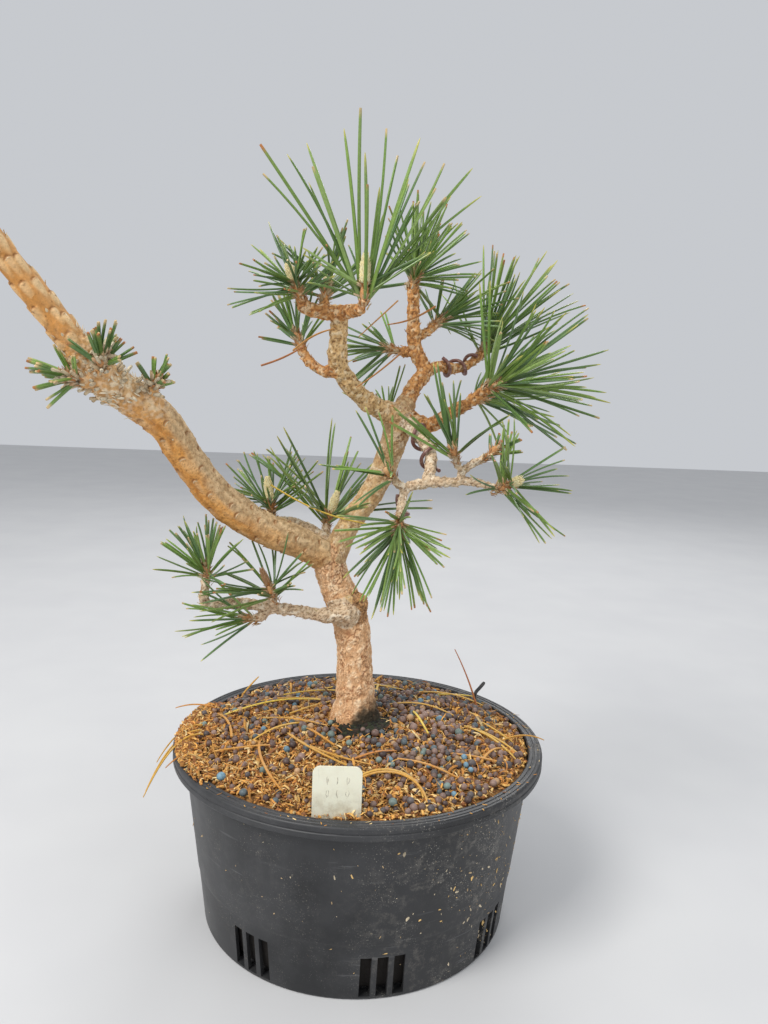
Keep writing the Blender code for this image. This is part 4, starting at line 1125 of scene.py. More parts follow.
def pot_profile():
    """The pot's section, from the floor's middle up the inside, over the rim and down to the foot."""
    rim = MOUTH_R + FLANGE
    under = POT_HEIGHT - POT_WALL
    neck = wall_radius(under)
    inner = neck - POT_WALL
    step = wall_radius(STEP_HEIGHT)
    top = POT_HEIGHT
    m = MM
    inside = [(0, FLOOR_TOP),
              *arc(wall_radius(6 * m) - POT_WALL - 3.4 * m, FLOOR_TOP + 2.6 * m, 2.6 * m, -90, 0, 4),
              (step - POT_WALL - STEP_DEPTH, STEP_HEIGHT),
              (inner, top - 1.6 * m)]
    roll = arc(inner + 1.3 * m, top - 1.3 * m, 1.3 * m, 180, 90, 5)
    grooves = [(inner + 2.6 * m, top - 0.05 * m), (inner + 2.9 * m, top - 0.45 * m),
               (inner + 3.5 * m, top - 0.45 * m), (inner + 3.8 * m, top - 0.05 * m),
               (rim - 3.0 * m, top), (rim - 2.7 * m, top - 0.35 * m),
               (rim - 2.3 * m, top - 0.35 * m), (rim - 2.0 * m, top - 0.05 * m)]
    lip = [*arc(rim - 1.5 * m, top - 1.5 * m, 1.5 * m, 85, 0, 6),
           (rim - 0.05 * m, top - 3.2 * m), (rim - 0.45 * m, top - 3.6 * m),
           (rim - 0.45 * m, top - 4.1 * m), (rim - 0.05 * m, top - 4.5 * m),
           *arc(rim - 0.9 * m, top - LIP + 0.9 * m, 0.9 * m, 0, -180, 8)]
    outside = [(rim - POT_WALL, under - 0.8 * m), (rim - POT_WALL - 0.8 * m, under),
               (neck + 1.0 * m, under), *arc(neck + 1.0 * m, under - 1.0 * m, 1.0 * m, 90, 180, 3),
               (wall_radius(70 * m), 70 * m), (wall_radius(STEP_HEIGHT + 2 * m), STEP_HEIGHT + 2 * m),
               (step, STEP_HEIGHT + 1.2 * m), (step - STEP_DEPTH, STEP_HEIGHT - 0.2 * m),
               (step - STEP_DEPTH, STEP_HEIGHT - 1.4 * m), (FOOT_R + 0.25 * m, 4 * m),
               *arc(FOOT_R - 1.6 * m, 1.6 * m, 1.6 * m, 0, -90, 5)]
    foot = [(FOOT_R - RING_WIDTH, 0), (FOOT_R - RING_WIDTH - 1.2 * m, FLOOR_UNDER),
            (PAD_R + 1.2 * m, FLOOR_UNDER), (PAD_R, 0), (0, 0)]
    return inside + roll + grooves + lip + outside + foot


def pot_cutter():
    """Boxes for the slots in the wall and cylinders for the holes in the floor."""
    cut = bmesh.new()
    for group in range(SLOT_GROUPS):
        for slot in range(SLOTS):
            middle = (wall_radius(0), (slot - 1) * SLOT_PITCH, SLOT_BOTTOM + SLOT_HEIGHT / 2)
            matrix = (Matrix.Rotation(FIRST_SLOT + math.tau * group / SLOT_GROUPS, 4, "Z")
                      @ Matrix.Translation(middle)
                      @ Matrix.Diagonal((POT_WALL * 8, SLOT_WIDTH, SLOT_HEIGHT, 1)))
            bmesh.ops.create_cube(cut, size=1, matrix=matrix)
    for hole in range(HOLES):
        turn = Matrix.Rotation(math.tau * hole / HOLES, 4, "Z")
        bmesh.ops.create_cone(cut, cap_ends=True, segments=32, radius1=HOLE_R, radius2=HOLE_R, depth=8 * MM,
                              matrix=turn @ Matrix.Translation((HOLE_RING, 0, 2.2 * MM)))
    cutter = bpy.data.objects.new("cut", mesh_from(cut, "cut"))
    bpy.context.scene.collection.objects.link(cutter)
    return cutter


def build_pot():
    shell = mesh_from(turned(pot_profile(), POT_SEGMENTS), "pot_shell")
    pot = finished("pot_shell", shell, POT, angle=POT_SHARP_DEGREES)
    cutter = pot_cutter()
    modifier = pot.modifiers.new("slots", "BOOLEAN")
    modifier.operation, modifier.object, modifier.solver = "DIFFERENCE", cutter, "EXACT"
    done = bpy.data.meshes.new_from_object(pot.evaluated_get(bpy.context.evaluated_depsgraph_get()))
    pot.modifiers.clear()
    pot.data = done
    bpy.data.objects.remove(cutter, do_unlink=True)
    done.shade_smooth()
    done.set_sharp_from_angle(angle=math.radians(POT_SHARP_DEGREES))
    attach(pot, "pot")


# ---------------------------------------------------------------- potting mix


def ripple(x, y, layer, scale):
    """Smooth noise over the mix; each layer is a different pattern."""
    return noise.noise(Vector((x, y, layer)) * scale)


def mound(x, y):
    """The solid model's smooth mound."""
    radius = math.hypot(x, y)
    inside = wall_radius(SOIL_EDGE) - POT_WALL
    return SOIL_TOP - (SOIL_TOP - SOIL_EDGE) * (min(radius, inside) / inside) ** 1.6


def spill(x, y):
    """How much of the mix has run over the rim here: only on the left."""
    angle = math.degrees(math.atan2(y, x)) % 360
    return smoothstep(150, 168, angle) * (1 - smoothstep(212, 232, angle))


def soil_height(x, y):
    """The mound's surface with the loose mix's hollows and heaps, and the spill over the rim."""
    radius = math.hypot(x, y)
    inside = wall_radius(SOIL_EDGE) - POT_WALL
    bumps = ripple(x, y, 0.3, 60) * 2.4 + ripple(x, y, 1.7, 170) * 1.5
    bumps = (bumps - 0.5) * MM * smoothstep(inside, inside - 9 * MM, radius)
    rise = spill(x, y) * smoothstep(inside - 9 * MM, inside - 1 * MM, radius)
    over = POT_HEIGHT + 1.4 * MM - max(0, radius - inside - 3 * MM) * 0.25
    return (mound(x, y) + bumps) * (1 - rise) + max(over, mound(x, y)) * rise


# The browns and yellows of the shredded fibre.
STRAWS = (
    (0.68, 0.39, 0.11), (0.62, 0.31, 0.07), (0.76, 0.50, 0.19), (0.54, 0.24, 0.055), (0.36, 0.14, 0.04),
    (0.78, 0.58, 0.28), (0.66, 0.35, 0.09), (0.58, 0.26, 0.06), (0.27, 0.11, 0.04),
)

# Prill colours, each with how common it is.
PRILLS = (
    ((0.165, 0.105, 0.085), 50), ((0.235, 0.155, 0.125), 32), ((0.095, 0.080, 0.078), 26),
    ((0.090, 0.115, 0.125), 12), ((0.14, 0.25, 0.32), 4), ((0.15, 0.20, 0.18), 6),
    ((0.40, 0.25, 0.13), 8), ((0.070, 0.045, 0.040), 10),
)

# The rough block under the loose grains: how finely it is cut, and its colours.
SOIL_RINGS, SOIL_SEGMENTS = 90, 300
MIX_DARK, MIX_LIGHT, DAMP_BLACK = (0.075, 0.033, 0.013), (0.42, 0.21, 0.06), (0.015, 0.014, 0.009)
# The near black of the block's sides and floor is painted shade, for the mix seen through the wall's slots
# and the floor's holes.
SHADED_MIX_SIDE = (0.011, 0.008, 0.006)


def build_soil_body():
    """The block of mix: a rough top in rings, then the wall down to the pot's floor."""
    inside = wall_radius(SOIL_EDGE) - POT_WALL - CLEARANCE - STEP_DEPTH
    floor = FLOOR_TOP + CLEARANCE
    rings, segments = SOIL_RINGS, SOIL_SEGMENTS
    sink = Sink()
    verts, tints, faces = [], [], []
    for ring in range(rings + 1):
        radius = inside * ring / rings
        for i in range(segments):
            angle = math.tau * i / segments
            x, y = radius * math.cos(angle), radius * math.sin(angle)
            rough = ripple(x, y, 0, 700) * 0.9 + ripple(x, y, 4, 1500) * 0.5
            top = min(soil_height(x, y), SOIL_TOP + 4 * MM) if radius < inside - 0.5 * MM else mound(x, y)
            verts.append(Vector((x, y, top - 0.9 * MM + rough * 0.8 * MM)))
            tint = mix(MIX_DARK, MIX_LIGHT, 0.5 + ripple(x, y, 9, 420))
            tints.append(mix(tint, DAMP_BLACK, 0.95 if in_damp(x, y, -1.5 * MM) else 0))
    for ring in range(rings):
        for i in range(segments):
            a, b = ring * segments + i, ring * segments + (i + 1) % segments
            faces.append((a, b, b + segments, a + segments) if ring else (a, b + segments, a + segments))
    low = [(wall_radius(STEP_HEIGHT) - POT_WALL - CLEARANCE - STEP_DEPTH, STEP_HEIGHT),
           (wall_radius(floor) - POT_WALL - 2.4 * MM, floor + 3 * MM),
           (wall_radius(floor) - POT_WALL - 4 * MM, floor)]
    for radius, z in low:
        start = len(verts)
        for i in range(segments):
            angle = math.tau * i / segments
            wobble = noise.noise(Vector((math.cos(angle) * 30, math.sin(angle) * 30, z * 200))) * 0.5 * MM
            reach = radius - 0.5 * MM + wobble
            verts.append(Vector((reach * math.cos(angle), reach * math.sin(angle), z)))
            # Painted shade: the sides stay near black where the slots show them.
            tints.append(SHADED_MIX_SIDE)
        for i in range(segments):
            a, b = start - segments + i, start - segments + (i + 1) % segments
            faces.append((a, b, b + segments, a + segments))
    last = len(verts) - segments
    faces.append(tuple(range(last + segments - 1, last - 1, -1)))
    sink.add(verts, faces, tints)
    soil = sink.object("mix_body", MIX, smooth=False)
    bm = bmesh.new()
    bm.from_mesh(soil.data)
    bmesh.ops.remove_doubles(bm, verts=bm.verts[:segments], dist=MM / 100)
    bmesh.ops.recalc_face_normals(bm, faces=bm.faces)
    bm.to_mesh(soil.data)
    bm.free()
    attach(soil, "potting_mix")


def label_foot():
    """Where the label meets the mix: as near the wall as its point and its shoulders allow."""
    distances = []
    for across, below in ((0, LABEL_LENGTH), (LABEL_WIDTH / 2, LABEL_LENGTH - LABEL_WIDTH / 2)):
        reach = wall_radius(SOIL_EDGE + LABEL_SHOWING - below) - POT_WALL - LABEL_SETBACK - LABEL_HALF_THICK
        distances.append(math.sqrt(reach**2 - (abs(LABEL_OFFSET) + across) ** 2))
    distance = min(distances)
    return Vector((LABEL_OFFSET, -distance, mound(LABEL_OFFSET, distance)))


def in_label(x, y, margin):
    """Whether a place is inside the label's footprint, widened by a margin."""
    foot = label_foot()
    return abs(x - foot.x) < LABEL_WIDTH / 2 + margin and abs(y - foot.y) < 0.6 * MM + margin


def in_damp(x, y, margin=0.0):
    """The bare, black, damp hollow at the trunk's right-hand foot."""
    dx, dy = x - TREE_FOOT.x, y - TREE_FOOT.y
    reach = (24 + ripple(dx, dy, 0, 90) * 8) * MM
    return math.hypot(dx, dy) < reach - margin and -2.1 < math.atan2(dy, dx) < 0.5


def in_trunk(x, y, margin):
    return math.hypot(x - TREE_FOOT.x, y - TREE_FOOT.y) < TRUNK_FOOT_R + margin


# How many places are tried for each kind of grain, the grid that keeps prills apart, and the
# share of grains that stay out of the damp hollow.
PRILL_TRIES, FIBRE_TRIES, CRUMB_TRIES, DAMP_CRUMBS = 11000, 14000, 9000, 1500
PRILL_CELL, DAMP_SPARED = 5 * MM, 0.93
# Where the prills lie thickest: x, y, spread along each in mm, and how thick.
PRILL_HEAPS = [
    (-45, 55, 32, 22, 0.9), (-30, -12, 13, 13, 0.7), (45, 50, 38, 30, 0.75), (46, 8, 18, 15, 1.1),
    (36, -40, 32, 20, 1.15), (60, -78, 20, 10, 0.3), (20, -93, 26, 5, 0.6), (4, 30, 24, 12, 0.6),
    (-78, 10, 14, 20, 0.3),
]


def prill_density(x, y):
    """The chance that a prill tried here stays."""
    patch = 0.75 + ripple(x, y, 2.2, 75) * 0.9
    heaps = sum(k * math.exp(-(((x / MM - a) / c) ** 2 + ((y / MM - b) / d) ** 2))
                for a, b, c, d, k in PRILL_HEAPS)
    return 0.05 + patch * heaps


def scattered(rng, limit, spilt=False):
    """A random place on the mix, or for a spilt bit one that has run over the rim on the left."""
    radius, angle = limit * math.sqrt(rng.random()), rng.uniform(0, math.tau)
    if spilt:
        radius, angle = rng.uniform(limit - 4 * MM, MOUTH_R + 5 * MM), math.radians(rng.gauss(188, 20))
    return radius * math.cos(angle), radius * math.sin(angle)


def lumpy(template, depth, grain, place):
    """A template with its points pushed in and out, differently at each place."""
    verts, faces = template
    return [v * (1 + depth * noise.noise(v * grain + place)) for v in verts], faces


def tumbled(rng, upright):
    """A random turn, nearer to the upright axis the larger upright is."""
    angle = rng.uniform(0, math.tau)
    return Matrix.Rotation(angle, 3, Vector((rng.random(), rng.random(), upright)).normalized())


def build_prills():
    """Fertiliser prills, none of them deep in another."""
    rng = random.Random("prills")
    limit = wall_radius(SOIL_EDGE) - POT_WALL - 2.6 * MM
    ball = ball_template(3)
    cells = {}
    sink = Sink()
    colours = [c for c, weight in PRILLS for _ in range(weight)]
    for _ in range(PRILL_TRIES):
        x, y = scattered(rng, limit)
        size = rng.uniform(1.35, 2.05 + 0.5 * rng.random()) * MM
        if in_damp(x, y) and rng.random() < DAMP_SPARED:
            continue
        if rng.random() > prill_density(x, y) or in_trunk(x, y, size) or in_label(x, y, size + 0.2 * MM):
            continue
        cell = (int(x // PRILL_CELL), int(y // PRILL_CELL))
        near = [p for i in (-1, 0, 1) for j in (-1, 0, 1) for p in cells.get((cell[0] + i, cell[1] + j), ())]
        if any(math.hypot(x - a, y - b) < (size + s) * 0.9 for a, b, s in near):
            continue
        cells.setdefault(cell, []).append((x, y, size))
        centre = Vector((x, y, soil_height(x, y) + 0.9 * MM + size * rng.uniform(0.3, 0.9)))
        squash = Matrix.Diagonal((rng.uniform(0.9, 1.05), rng.uniform(0.9, 1.05), rng.uniform(0.85, 1.0)))
        turn = tumbled(rng, 0.5)
        colour = scaled(rng.choice(colours), rng.uniform(0.8, 1.35))
        lumps = Vector((rng.uniform(0, 50), 0, 0))
        sink.blob(centre, size, lumpy(ball, 0.06, 2.2, lumps), colour, turn @ squash)
    return sink.object("fertiliser_prills", PRILL)


def fibre(sink, rng, x, y, length, width, colour, lift=0.0):
    """A shred of fibre that curls over the mix."""
    angle = rng.uniform(0, math.tau)
    turn = rng.uniform(-1.8, 1.8)
    steps = 5
    points = []
    px, py = x, y
    rise = rng.uniform(-0.2, 0.9) * MM + lift
    slope = rng.choice((rng.uniform(-0.15, 0.2), rng.uniform(-0.1, 0.7)))
    arch = rng.uniform(0.0, 0.16)
    for i in range(steps + 1):
        t = i / steps
        swing = (math.sin(math.pi * t) * arch + slope * t) * length
        points.append(Vector((px, py, soil_height(px, py) + rise + swing)))
        angle += turn / steps + rng.uniform(-0.35, 0.35)
        px += math.cos(angle) * length / steps
        py += math.sin(angle) * length / steps
    if math.hypot(px, py) > MOUTH_R + 4 * MM or (math.hypot(px, py) > 101.5 * MM and spill(px, py) < 0.3):
        return
    radii = taper(width / 2, (0.45, 0.9, 1, 1, 0.85, 0.3))
    tints = shades(colour, (0.7, 0.9, 1, 1.05, 1.0, 0.85))
    sink.tube(points, radii, 5, tints, flat=rng.uniform(0.2, 0.6), face=UP)


def build_fibres():
    """Shreds of fibre and smaller crumbs, over the mix and over the rim on the left."""
    rng = random.Random("fibres")
    limit = wall_radius(SOIL_EDGE) - POT_WALL - 1.2 * MM
    sink = Sink()
    crumb = ball_template(1)
    for i in range(FIBRE_TRIES):
        spilt = i % 8 == 0
        x, y = scattered(rng, limit, spilt)
        if in_trunk(x, y, 0) or in_label(x, y, LABEL_ROOM) or (spilt and spill(x, y) < rng.random()):
            continue
        if rng.random() < min(0.75, prill_density(x, y) * 0.8):
            continue
        if in_damp(x, y) and rng.random() < DAMP_SPARED:
            continue
        length = rng.choice((1.5, 2, 2.5, 3, 3, 4, 5, 7)) * rng.uniform(0.8, 1.25) * MM
        width = rng.choice((0.35, 0.5, 0.6, 0.8, 1.1, 1.6)) * rng.uniform(0.8, 1.2) * MM
        colour = scaled(rng.choice(STRAWS), rng.uniform(0.65, 1.25))
        fibre(sink, rng, x, y, length, min(width, length * 0.4), colour, rng.uniform(0, 0.9) * MM)
    for i in range(CRUMB_TRIES):
        spilt = i % 9 == 0
        x, y = scattered(rng, limit, spilt)
        if in_trunk(x, y, -2 * MM) or in_label(x, y, LABEL_ROOM) or in_damp(x, y):
            continue
        if spilt and spill(x, y) < rng.random():
            continue
        size = rng.uniform(0.45, 1.8) * MM
        stretch = Matrix.Diagonal((rng.uniform(0.6, 1.7), rng.uniform(0.4, 1), rng.uniform(0.25, 0.7)))
        turn = tumbled(rng, 1)
        centre = Vector((x, y, soil_height(x, y) + rng.uniform(0, 0.9) * MM))
        colour = scaled(rng.choice(STRAWS), rng.uniform(0.55, 1.3))
        sink.blob(centre, size, lumpy(crumb, 0.35, 1.7, Vector((i, 0, 0))), colour, turn @ stretch)
    return sink.object("shredded_fibre", FIBRE, smooth=False)


def build_dark_patch():
    """Damp, mossy crumbs against the trunk's right-hand foot."""
    rng = random.Random("damp")
    sink = Sink()
    crumb = ball_template(2)
    for _ in range(DAMP_CRUMBS):
        angle = rng.gauss(-0.75, 0.7)
        radius = (12.5 + abs(rng.gauss(0, 5.5))) * MM
        x = TREE_FOOT.x + radius * math.cos(angle)
        y = TREE_FOOT.y + radius * math.sin(angle)
        size = rng.uniform(0.5, 1.8) * MM
        colour = scaled(rng.choice(((0.014, 0.014, 0.009), (0.022, 0.026, 0.011), (0.030, 0.019, 0.012))),
                        rng.uniform(0.6, 1.5))
        stretch = Matrix.Diagonal((1, rng.uniform(0.5, 1), rng.uniform(0.4, 0.9)))
        near = max(0, 1 - (radius / MM - 11) / 7)
        z = soil_height(x, y) + (0.6 + rng.uniform(0, 4.5) * near) * MM
        sink.blob(Vector((x, y, z)), size, crumb, colour, stretch)
    return sink.object("damp_moss", MIX, smooth=False)


# Long dead needles on the mix: start x, y, heading in degrees, length, curl, yellowness.
FALLEN = [
    (-40, -24, -70, 66, 0.9, 0.35), (-42, -22, -66, 64, 1.0, 0.30), (-58, -30, -88, 56, 0.6, 0.15),
    (-58, 46, -8, 62, 0.3, 0.7), (-88, 16, 24, 74, -0.5, 1.0), (-20, 30, 160, 52, 0.4, 0.4),
    (18, 24, 10, 44, -0.6, 0.45), (34, 16, -86, 34, 0.3, 1.0), (66, 2, -44, 44, -0.3, 0.6),
    (68, 3, -40, 40, -0.2, 0.5), (52, -38, -20, 36, 0.5, 0.15), (74, 18, -60, 34, 0.2, 0.5),
    (2, -68, 38, 44, -2.1, 0.45), (2, -70, 34, 46, -2.0, 0.3), (-14, -38, 148, 30, -0.6, 0.2),
    (-76, -20, 100, 46, 0.4, 0.2), (-30, 58, 12, 54, 0.2, 0.6), (-10, 74, -25, 42, 0.4, 0.6),
    (40, 62, -12, 50, -0.2, 0.5), (54, 62, -4, 44, 0.3, 1.0), (-66, 4, -30, 50, 0.3, 0.3),
    (-44, 8, 30, 40, 0.2, 0.5), (22, -50, -32, 38, 0.3, 0.15), (70, -44, 60, 30, -0.4, 0.2),
    (-84, -36, -10, 36, 0.4, 0.2), (10, 46, 80, 30, 0.2, 0.7), (-32, -8, 200, 36, 0.4, 0.5),
    (-2, -52, 14, 26, 0.3, 0.0),
]
# Others that reach over the rim: start and direction, length in mm and how far they sag.
OVERHANGING = [
    ((-94, -16, 111), (-0.52, -0.50, 0.30), 54, 1.0), ((-96, -10, 111), (-0.62, -0.42, 0.22), 46, 1.1),
    ((-97, -2, 111), (-0.75, -0.30, 0.20), 34, 1.0), ((-94, 26, 111), (-0.9, 0.1, 0.25), 30, 0.4),
    ((-90, -38, 110), (-0.8, -0.25, 0.25), 24, 0.7), ((88, -10, 110), (0.85, 0.2, 0.34), 32, 0.5),
    ((-80, 50, 112), (0.4, 0.55, 0.45), 22, 0.1),
]


def thinning(radius, power):
    """Radii at 13 points of a dead needle, half as thick at its end as at its start."""
    return [radius * (1 - 0.5 * (i / 12) ** power) for i in range(13)]


def build_fallen():
    """Dead needles on the mix and over the rim, and one upright dead stem."""
    rng = random.Random("fallen")
    sink = Sink()
    for x, y, heading, length, curl, yellow in FALLEN:
        angle = math.radians(heading)
        px, py = x * MM, y * MM
        steps = 14
        points = []
        arch = rng.uniform(1.0, 3.2) * MM
        for i in range(steps + 1):
            points.append(Vector((px, py, mound(px, py) + 2.0 * MM + math.sin(math.pi * i / steps) * arch)))
            angle += curl / steps
            px += math.cos(angle) * length * MM / steps
            py += math.sin(angle) * length * MM / steps
            if in_trunk(px, py, 0) or math.hypot(px, py) > 103 * MM:
                break
        colour = mix((0.52, 0.20, 0.04), (0.70, 0.50, 0.06), yellow)
        if len(points) > 4:
            radii = [0.8 * MM * (1 - 0.6 * (i / len(points)) ** 6) for i in range(len(points))]
            tints = [mix(colour, (0.66, 0.46, 0.20), 0.5 * abs(noise.noise(p * 90))) for p in points]
            sink.tube(points, radii, 6, tints, flat=0.6, face=UP)
    for start, way, length, sag in OVERHANGING:
        points = [Vector(start) * MM + Vector(way) * length * MM * t - UP * sag * length * MM * t * t * 0.8
                  for t in (i / 12 for i in range(13))]
        colour = mix((0.50, 0.20, 0.04), (0.64, 0.40, 0.05), rng.random())
        sink.tube(points, thinning(0.65 * MM, 5), 6, [colour] * 13, flat=0.8, face=UP)
    stem = [Vector((80 - i * 1.15 - 0.05 * i * i, 48 + i * 0.5, 108 + 3.9 * i)) * MM for i in range(11)]
    sink.tube(stem, [0.75 * MM * (1 - 0.6 * i / 10) for i in range(11)], 6, [(0.42, 0.15, 0.05)] * 11)
    return sink.object("fallen_needles", STRAW)


# Dead needles caught among the living ones: ends in mm from the pot's foot, sag in mm.
CAUGHT = [
    ((-57, -6, 262), (4, -24, 243), 4, 0.9), ((-42, -44, 338), (-20, -48, 350), -2, 0.2),
    ((20, -20, 344), (-8, -38, 320), 1, 0.1), ((-60, -34, 330), (-36, -40, 341), 1, 0.0),
    ((14, 6, 372), (-8, -12, 349), 0, 0.2), ((34, -26, 366), (8, -16, 356), 2, 0.1),
]


def build_caught():
    """Dead needles that hang among the living ones."""
    sink = Sink()
    for a, b, sag, yellow in CAUGHT:
        a, b = Vector(a) * MM, Vector(b) * MM
        points = [a.lerp(b, i / 12) - UP * sag * MM * math.sin(math.pi * i / 12) for i in range(13)]
        colour = mix((0.40, 0.15, 0.05), (0.66, 0.46, 0.06), yellow)
        sink.tube(points, thinning(0.6 * MM, 4), 6, [colour] * 13, flat=0.75)
    return sink.object("caught_needles", STRAW)


WALL_SPECKS, RIM_SPECKS = 330, 70


def build_wall_specks():
    """Bits of fibre stuck to the pot's wall and rim."""
    rng = random.Random("specks")
    sink = Sink()
    for _ in range(WALL_SPECKS):
        azimuth = rng.choice((rng.gauss(-0.75, 0.35), rng.uniform(-3.1, 0)))
        z = rng.uniform(4, 98) * MM
        if rng.random() > 0.35 + 0.65 * max(0, math.cos(azimuth + 0.6)):
            continue
        out = level(azimuth)
        side = out.cross(UP)
        spin = rng.uniform(0, math.tau)
        way = around(side, UP, spin)
        spot = out * (wall_radius(z) + 0.1 * MM) + UP * z
        if z < STEP_HEIGHT:
            spot -= out * STEP_DEPTH
        size = rng.choice((0.5, 0.6, 0.8, 1.0, 1.6, 2.6))
        flake(sink, spot, way, out, size * MM, size * rng.uniform(0.3, 0.7) * MM,
              scaled(rng.choice((CREAM, STRAWS[2], PAPER)), rng.uniform(0.7, 1.15)), 0.15)
    for _ in range(RIM_SPECKS):
        azimuth = rng.uniform(-3.3, 0.4)
        radius = MOUTH_R + rng.uniform(-1, 5.5) * MM
        spot = Vector((radius * math.cos(azimuth), radius * math.sin(azimuth), POT_HEIGHT))
        flake(sink, spot, level(rng.uniform(0, math.tau)), UP, rng.uniform(0.8, 3.2) * MM,
              rng.uniform(0.3, 0.8) * MM, scaled(rng.choice(STRAWS), rng.uniform(0.8, 1.2)), 0.2)
    return sink.object("wall_specks", SCALE)


# ---------------------------------------------------------------- label and wires


def build_label():
    """The pale label, pointed below and rounded above."""
    half = LABEL_WIDTH / 2
    outline = [(0, LABEL_SHOWING - LABEL_LENGTH), (half, LABEL_SHOWING - LABEL_LENGTH + half)]
    for cx, start in ((half - LABEL_CORNER, 0), (LABEL_CORNER - half, 90)):
        outline += arc(cx, LABEL_SHOWING - LABEL_CORNER, LABEL_CORNER, start, start + 90, 10)
    outline.append((-half, LABEL_SHOWING - LABEL_LENGTH + half))
    foot = label_foot()
    bm = bmesh.new()
    face = bm.faces.new([bm.verts.new(foot + Vector((x, -LABEL_HALF_THICK, z))) for x, z in outline])
    moved = bmesh.ops.extrude_face_region(bm, geom=[face])["geom"]
    back = [v for v in moved if isinstance(v, bmesh.types.BMVert)]
    bmesh.ops.translate(bm, vec=(0, 2 * LABEL_HALF_THICK, 0), verts=back)
    bmesh.ops.recalc_face_normals(bm, faces=bm.faces)
    rims = [e for e in bm.edges if len(e.link_faces) == 2 and e.calc_face_angle(0) > 1]
    bmesh.ops.bevel(bm, geom=rims, offset=0.18 * MM, segments=2, affect="EDGES")
    label = finished("label_strip", mesh_from(bm, "label_strip"), label_plastic(), angle=30)
    attach(label, "plant_label")


# Heights of the rows of marks above the mix in mm, the step between marks, and their colour.
MARK_ROWS, MARK_PITCH, FAINT_INK = (18.5, 11.5), 5.2 * MM, (0.50, 0.47, 0.37)


def build_label_marks():
    """Two rows of faint strokes, standing in for what was written by hand; they spell nothing."""
    rng = random.Random("marks")
    sink = Sink()
    foot = label_foot()
    front = foot.y - LABEL_HALF_THICK
    for row in MARK_ROWS:
        for mark in range(3):
            x = LABEL_OFFSET + (mark - 1) * MARK_PITCH + rng.uniform(-0.5, 0.5) * MM
            z = foot.z + row * MM
            for _ in range(2):
                sway, tall = rng.uniform(-1.1, 1.1), rng.uniform(1.2, 2.3)
                points = []
                for t in (0, 0.2, 0.4, 0.6, 0.8, 1):
                    bow = (sway * math.sin(t * 2.6) + rng.uniform(-0.15, 0.15)) * MM
                    points.append(Vector((x + bow, front, z + (t - 0.5) * 2 * tall * MM)))
                sink.tube(points, taper(MM, (0.12, 0.2, 0.22, 0.2, 0.2, 0.1)), 5, [FAINT_INK] * 6, flat=0.4,
                          face=Vector((0, 1, 0)))
    return sink.object("label_marks", MIX)


def build_wires():
    """Training wires: each winds round its limb just clear of the bark."""
    material = wire_metal()
    for name, (limb, start_angle, skip, stop) in WIRES.items():
        samples = smooth_path(limb_points(limb), max(9 * MM, 1.3 * limb_points(limb)[0].w))
        total = sum((b - a).xyz.length for a, b in zip(samples, samples[1:]))
        points, travelled = [], 0.0
        for a, b, (u, v) in zip(samples, samples[1:], frames_along([s.xyz for s in samples])):
            span = (b - a).xyz.length
            count = max(1, round(span / (WIRE_PITCH / 9)))
            for i in range(count):
                here = travelled + span * i / count
                if skip * MM <= here <= total - stop * MM:
                    sample = a.lerp(b, i / count)
                    angle = math.radians(start_angle) + math.tau * here / WIRE_PITCH
                    offset = sample.w * WIRE_LIFT + CLEARANCE + WIRE_R
                    points.append(sample.xyz + around(u, v, angle) * offset)
            travelled += span
        path = [p.xyz for p in smooth_path([Vector((*p, 0)) for p in points], 0.6 * MM)]
        sink = Sink()
        sink.tube(path, [WIRE_R] * len(path), WIRE_SIDES, [WHITE] * len(path))
        wire = sink.object(name + "_wound", material)
        attach(wire, name)


# The anchor wire: where it stands round the pot, its outward and upward places in mm, its radius,
# and how far inside the wall its foot is.
ANCHOR_AZIMUTH, ANCHOR_SHAPE = math.radians(36), ((0, -20), (0, 4), (1, 9), (5, 12), (9, 15))
ANCHOR_R, ANCHOR_OFF_WALL = 1.2 * MM, 3.6 * MM


def build_anchor():
    """The black wire end that comes up along the wall and bends out of the mix."""
    out = level(ANCHOR_AZIMUTH)
    start = wall_radius(SOIL_EDGE - 20 * MM) - POT_WALL - ANCHOR_OFF_WALL
    points = [Vector((*(out * (start + r * MM) + UP * (SOIL_EDGE + z * MM)), 0)) for r, z in ANCHOR_SHAPE]
    path = [p.xyz for p in smooth_path(points, 0.8 * MM)]
    sink = Sink()
    radii = [ANCHOR_R] * (len(path) - 2) + [1.1 * MM, 0.8 * MM]
    sink.tube(path, radii, WIRE_SIDES, [WHITE] * len(path))
    wire = sink.object("anchor_wire", black_cable())
    attach(wire, "anchor_wire_end")


# ---------------------------------------------------------------- stage


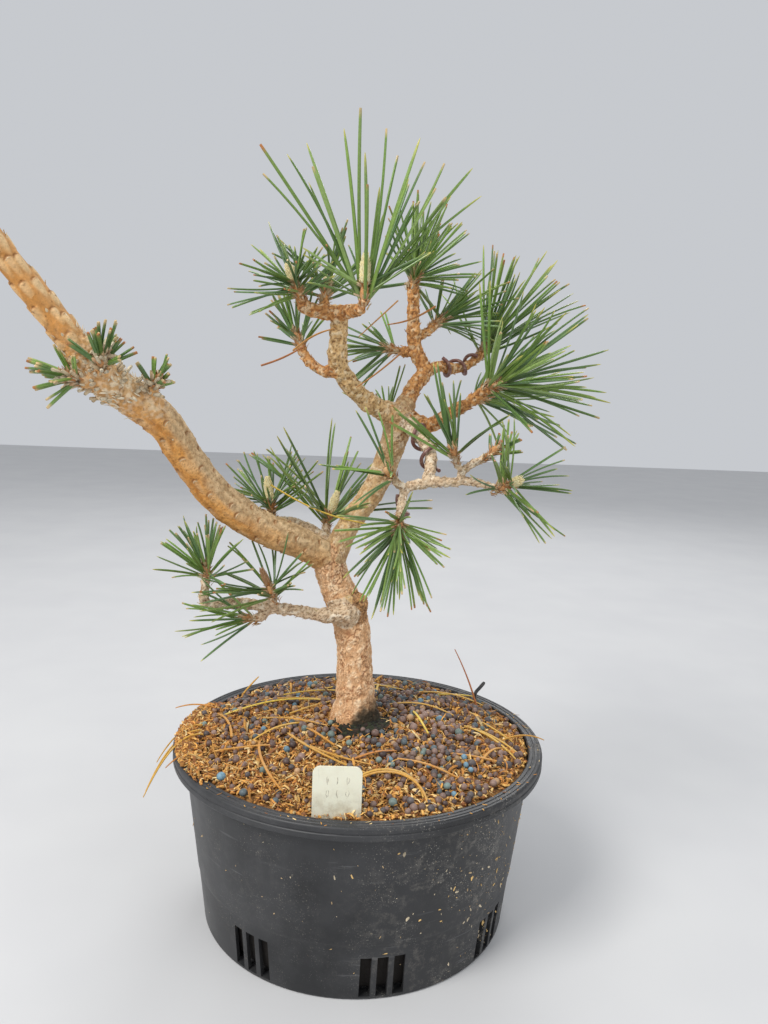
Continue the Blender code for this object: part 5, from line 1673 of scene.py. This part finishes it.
# Each lamp: name, place in metres, size in metres, power in watts, colour.
LAMPS = (
    ("key", (-0.9, -0.9, 1.5), 0.7, 26, (1.0, 0.985, 0.96)),
    ("fill", (1.3, -1.0, 0.9), 1.2, 7, (0.96, 0.98, 1.0)),
    ("back", (0.3, 1.4, 1.3), 0.8, 8, (1.0, 1.0, 1.0)),
)
LAMP_AIM = Vector((-0.02, 0, 0.22))
SKY_COLOUR, SKY_STRENGTH = (0.92, 0.95, 1.0, 1), 0.62
EYE = (0, -0.476, 0.313)
PITCH, YAW, ROLL = math.radians(7.84), math.radians(1.25), math.radians(2.14)
SENSOR_WIDTH, FOCAL_LENGTH, NEAREST_SEEN = 36, 28.125, 0.01


def build_stage():
    """A plain floor, an even sky and three soft lamps."""
    bm = bmesh.new()
    bmesh.ops.create_grid(bm, x_segments=8, y_segments=8, size=4)
    finished("floor", mesh_from(bm, "floor"), floor_paper())
    world = bpy.data.worlds.new("studio")
    world.use_nodes = True
    background = world.node_tree.nodes["Background"]
    background.inputs["Color"].default_value = SKY_COLOUR
    background.inputs["Strength"].default_value = SKY_STRENGTH
    bpy.context.scene.world = world
    for name, place, size, power, colour in LAMPS:
        light = bpy.data.lights.new(name, "AREA")
        light.size, light.energy, light.color = size, power, colour
        lamp = bpy.data.objects.new(name, light)
        aim = LAMP_AIM - Vector(place)
        lamp.matrix_world = Matrix.Translation(place) @ aim.to_track_quat("-Z", "Y").to_matrix().to_4x4()
        bpy.context.scene.collection.objects.link(lamp)
    bpy.context.scene.view_settings.view_transform = "Standard"


def build_camera():
    """The viewer stands in front of the pot's axis and looks a little down."""
    ahead = Vector((math.sin(YAW) * math.cos(PITCH), math.cos(YAW) * math.cos(PITCH), -math.sin(PITCH)))
    right = Vector((math.cos(YAW), -math.sin(YAW), 0))
    above = right.cross(ahead)
    turned_right = around(right, above, ROLL)
    turned_up = above * math.cos(ROLL) - right * math.sin(ROLL)
    data = bpy.data.cameras.new("camera")
    data.sensor_width, data.lens, data.clip_start = SENSOR_WIDTH, FOCAL_LENGTH, NEAREST_SEEN
    camera = bpy.data.objects.new("camera", data)
    matrix = Matrix((turned_right, turned_up, -ahead)).transposed().to_4x4()
    matrix.translation = EYE
    camera.matrix_world = matrix
    bpy.context.scene.collection.objects.link(camera)
    bpy.context.scene.camera = camera


build_camera()
build_stage()
build_pot()
build_wood()
for shoot in SHOOTS:
    build_shoot(shoot)
for bud in BUDS:
    build_bud(bud)
build_twig_scales()
build_soil_body()
attach(build_prills())
attach(build_fibres())
attach(build_dark_patch())
attach(build_fallen())
attach(build_caught())
attach(build_wall_specks())
build_label()
attach(build_label_marks())
build_wires()
build_anchor()
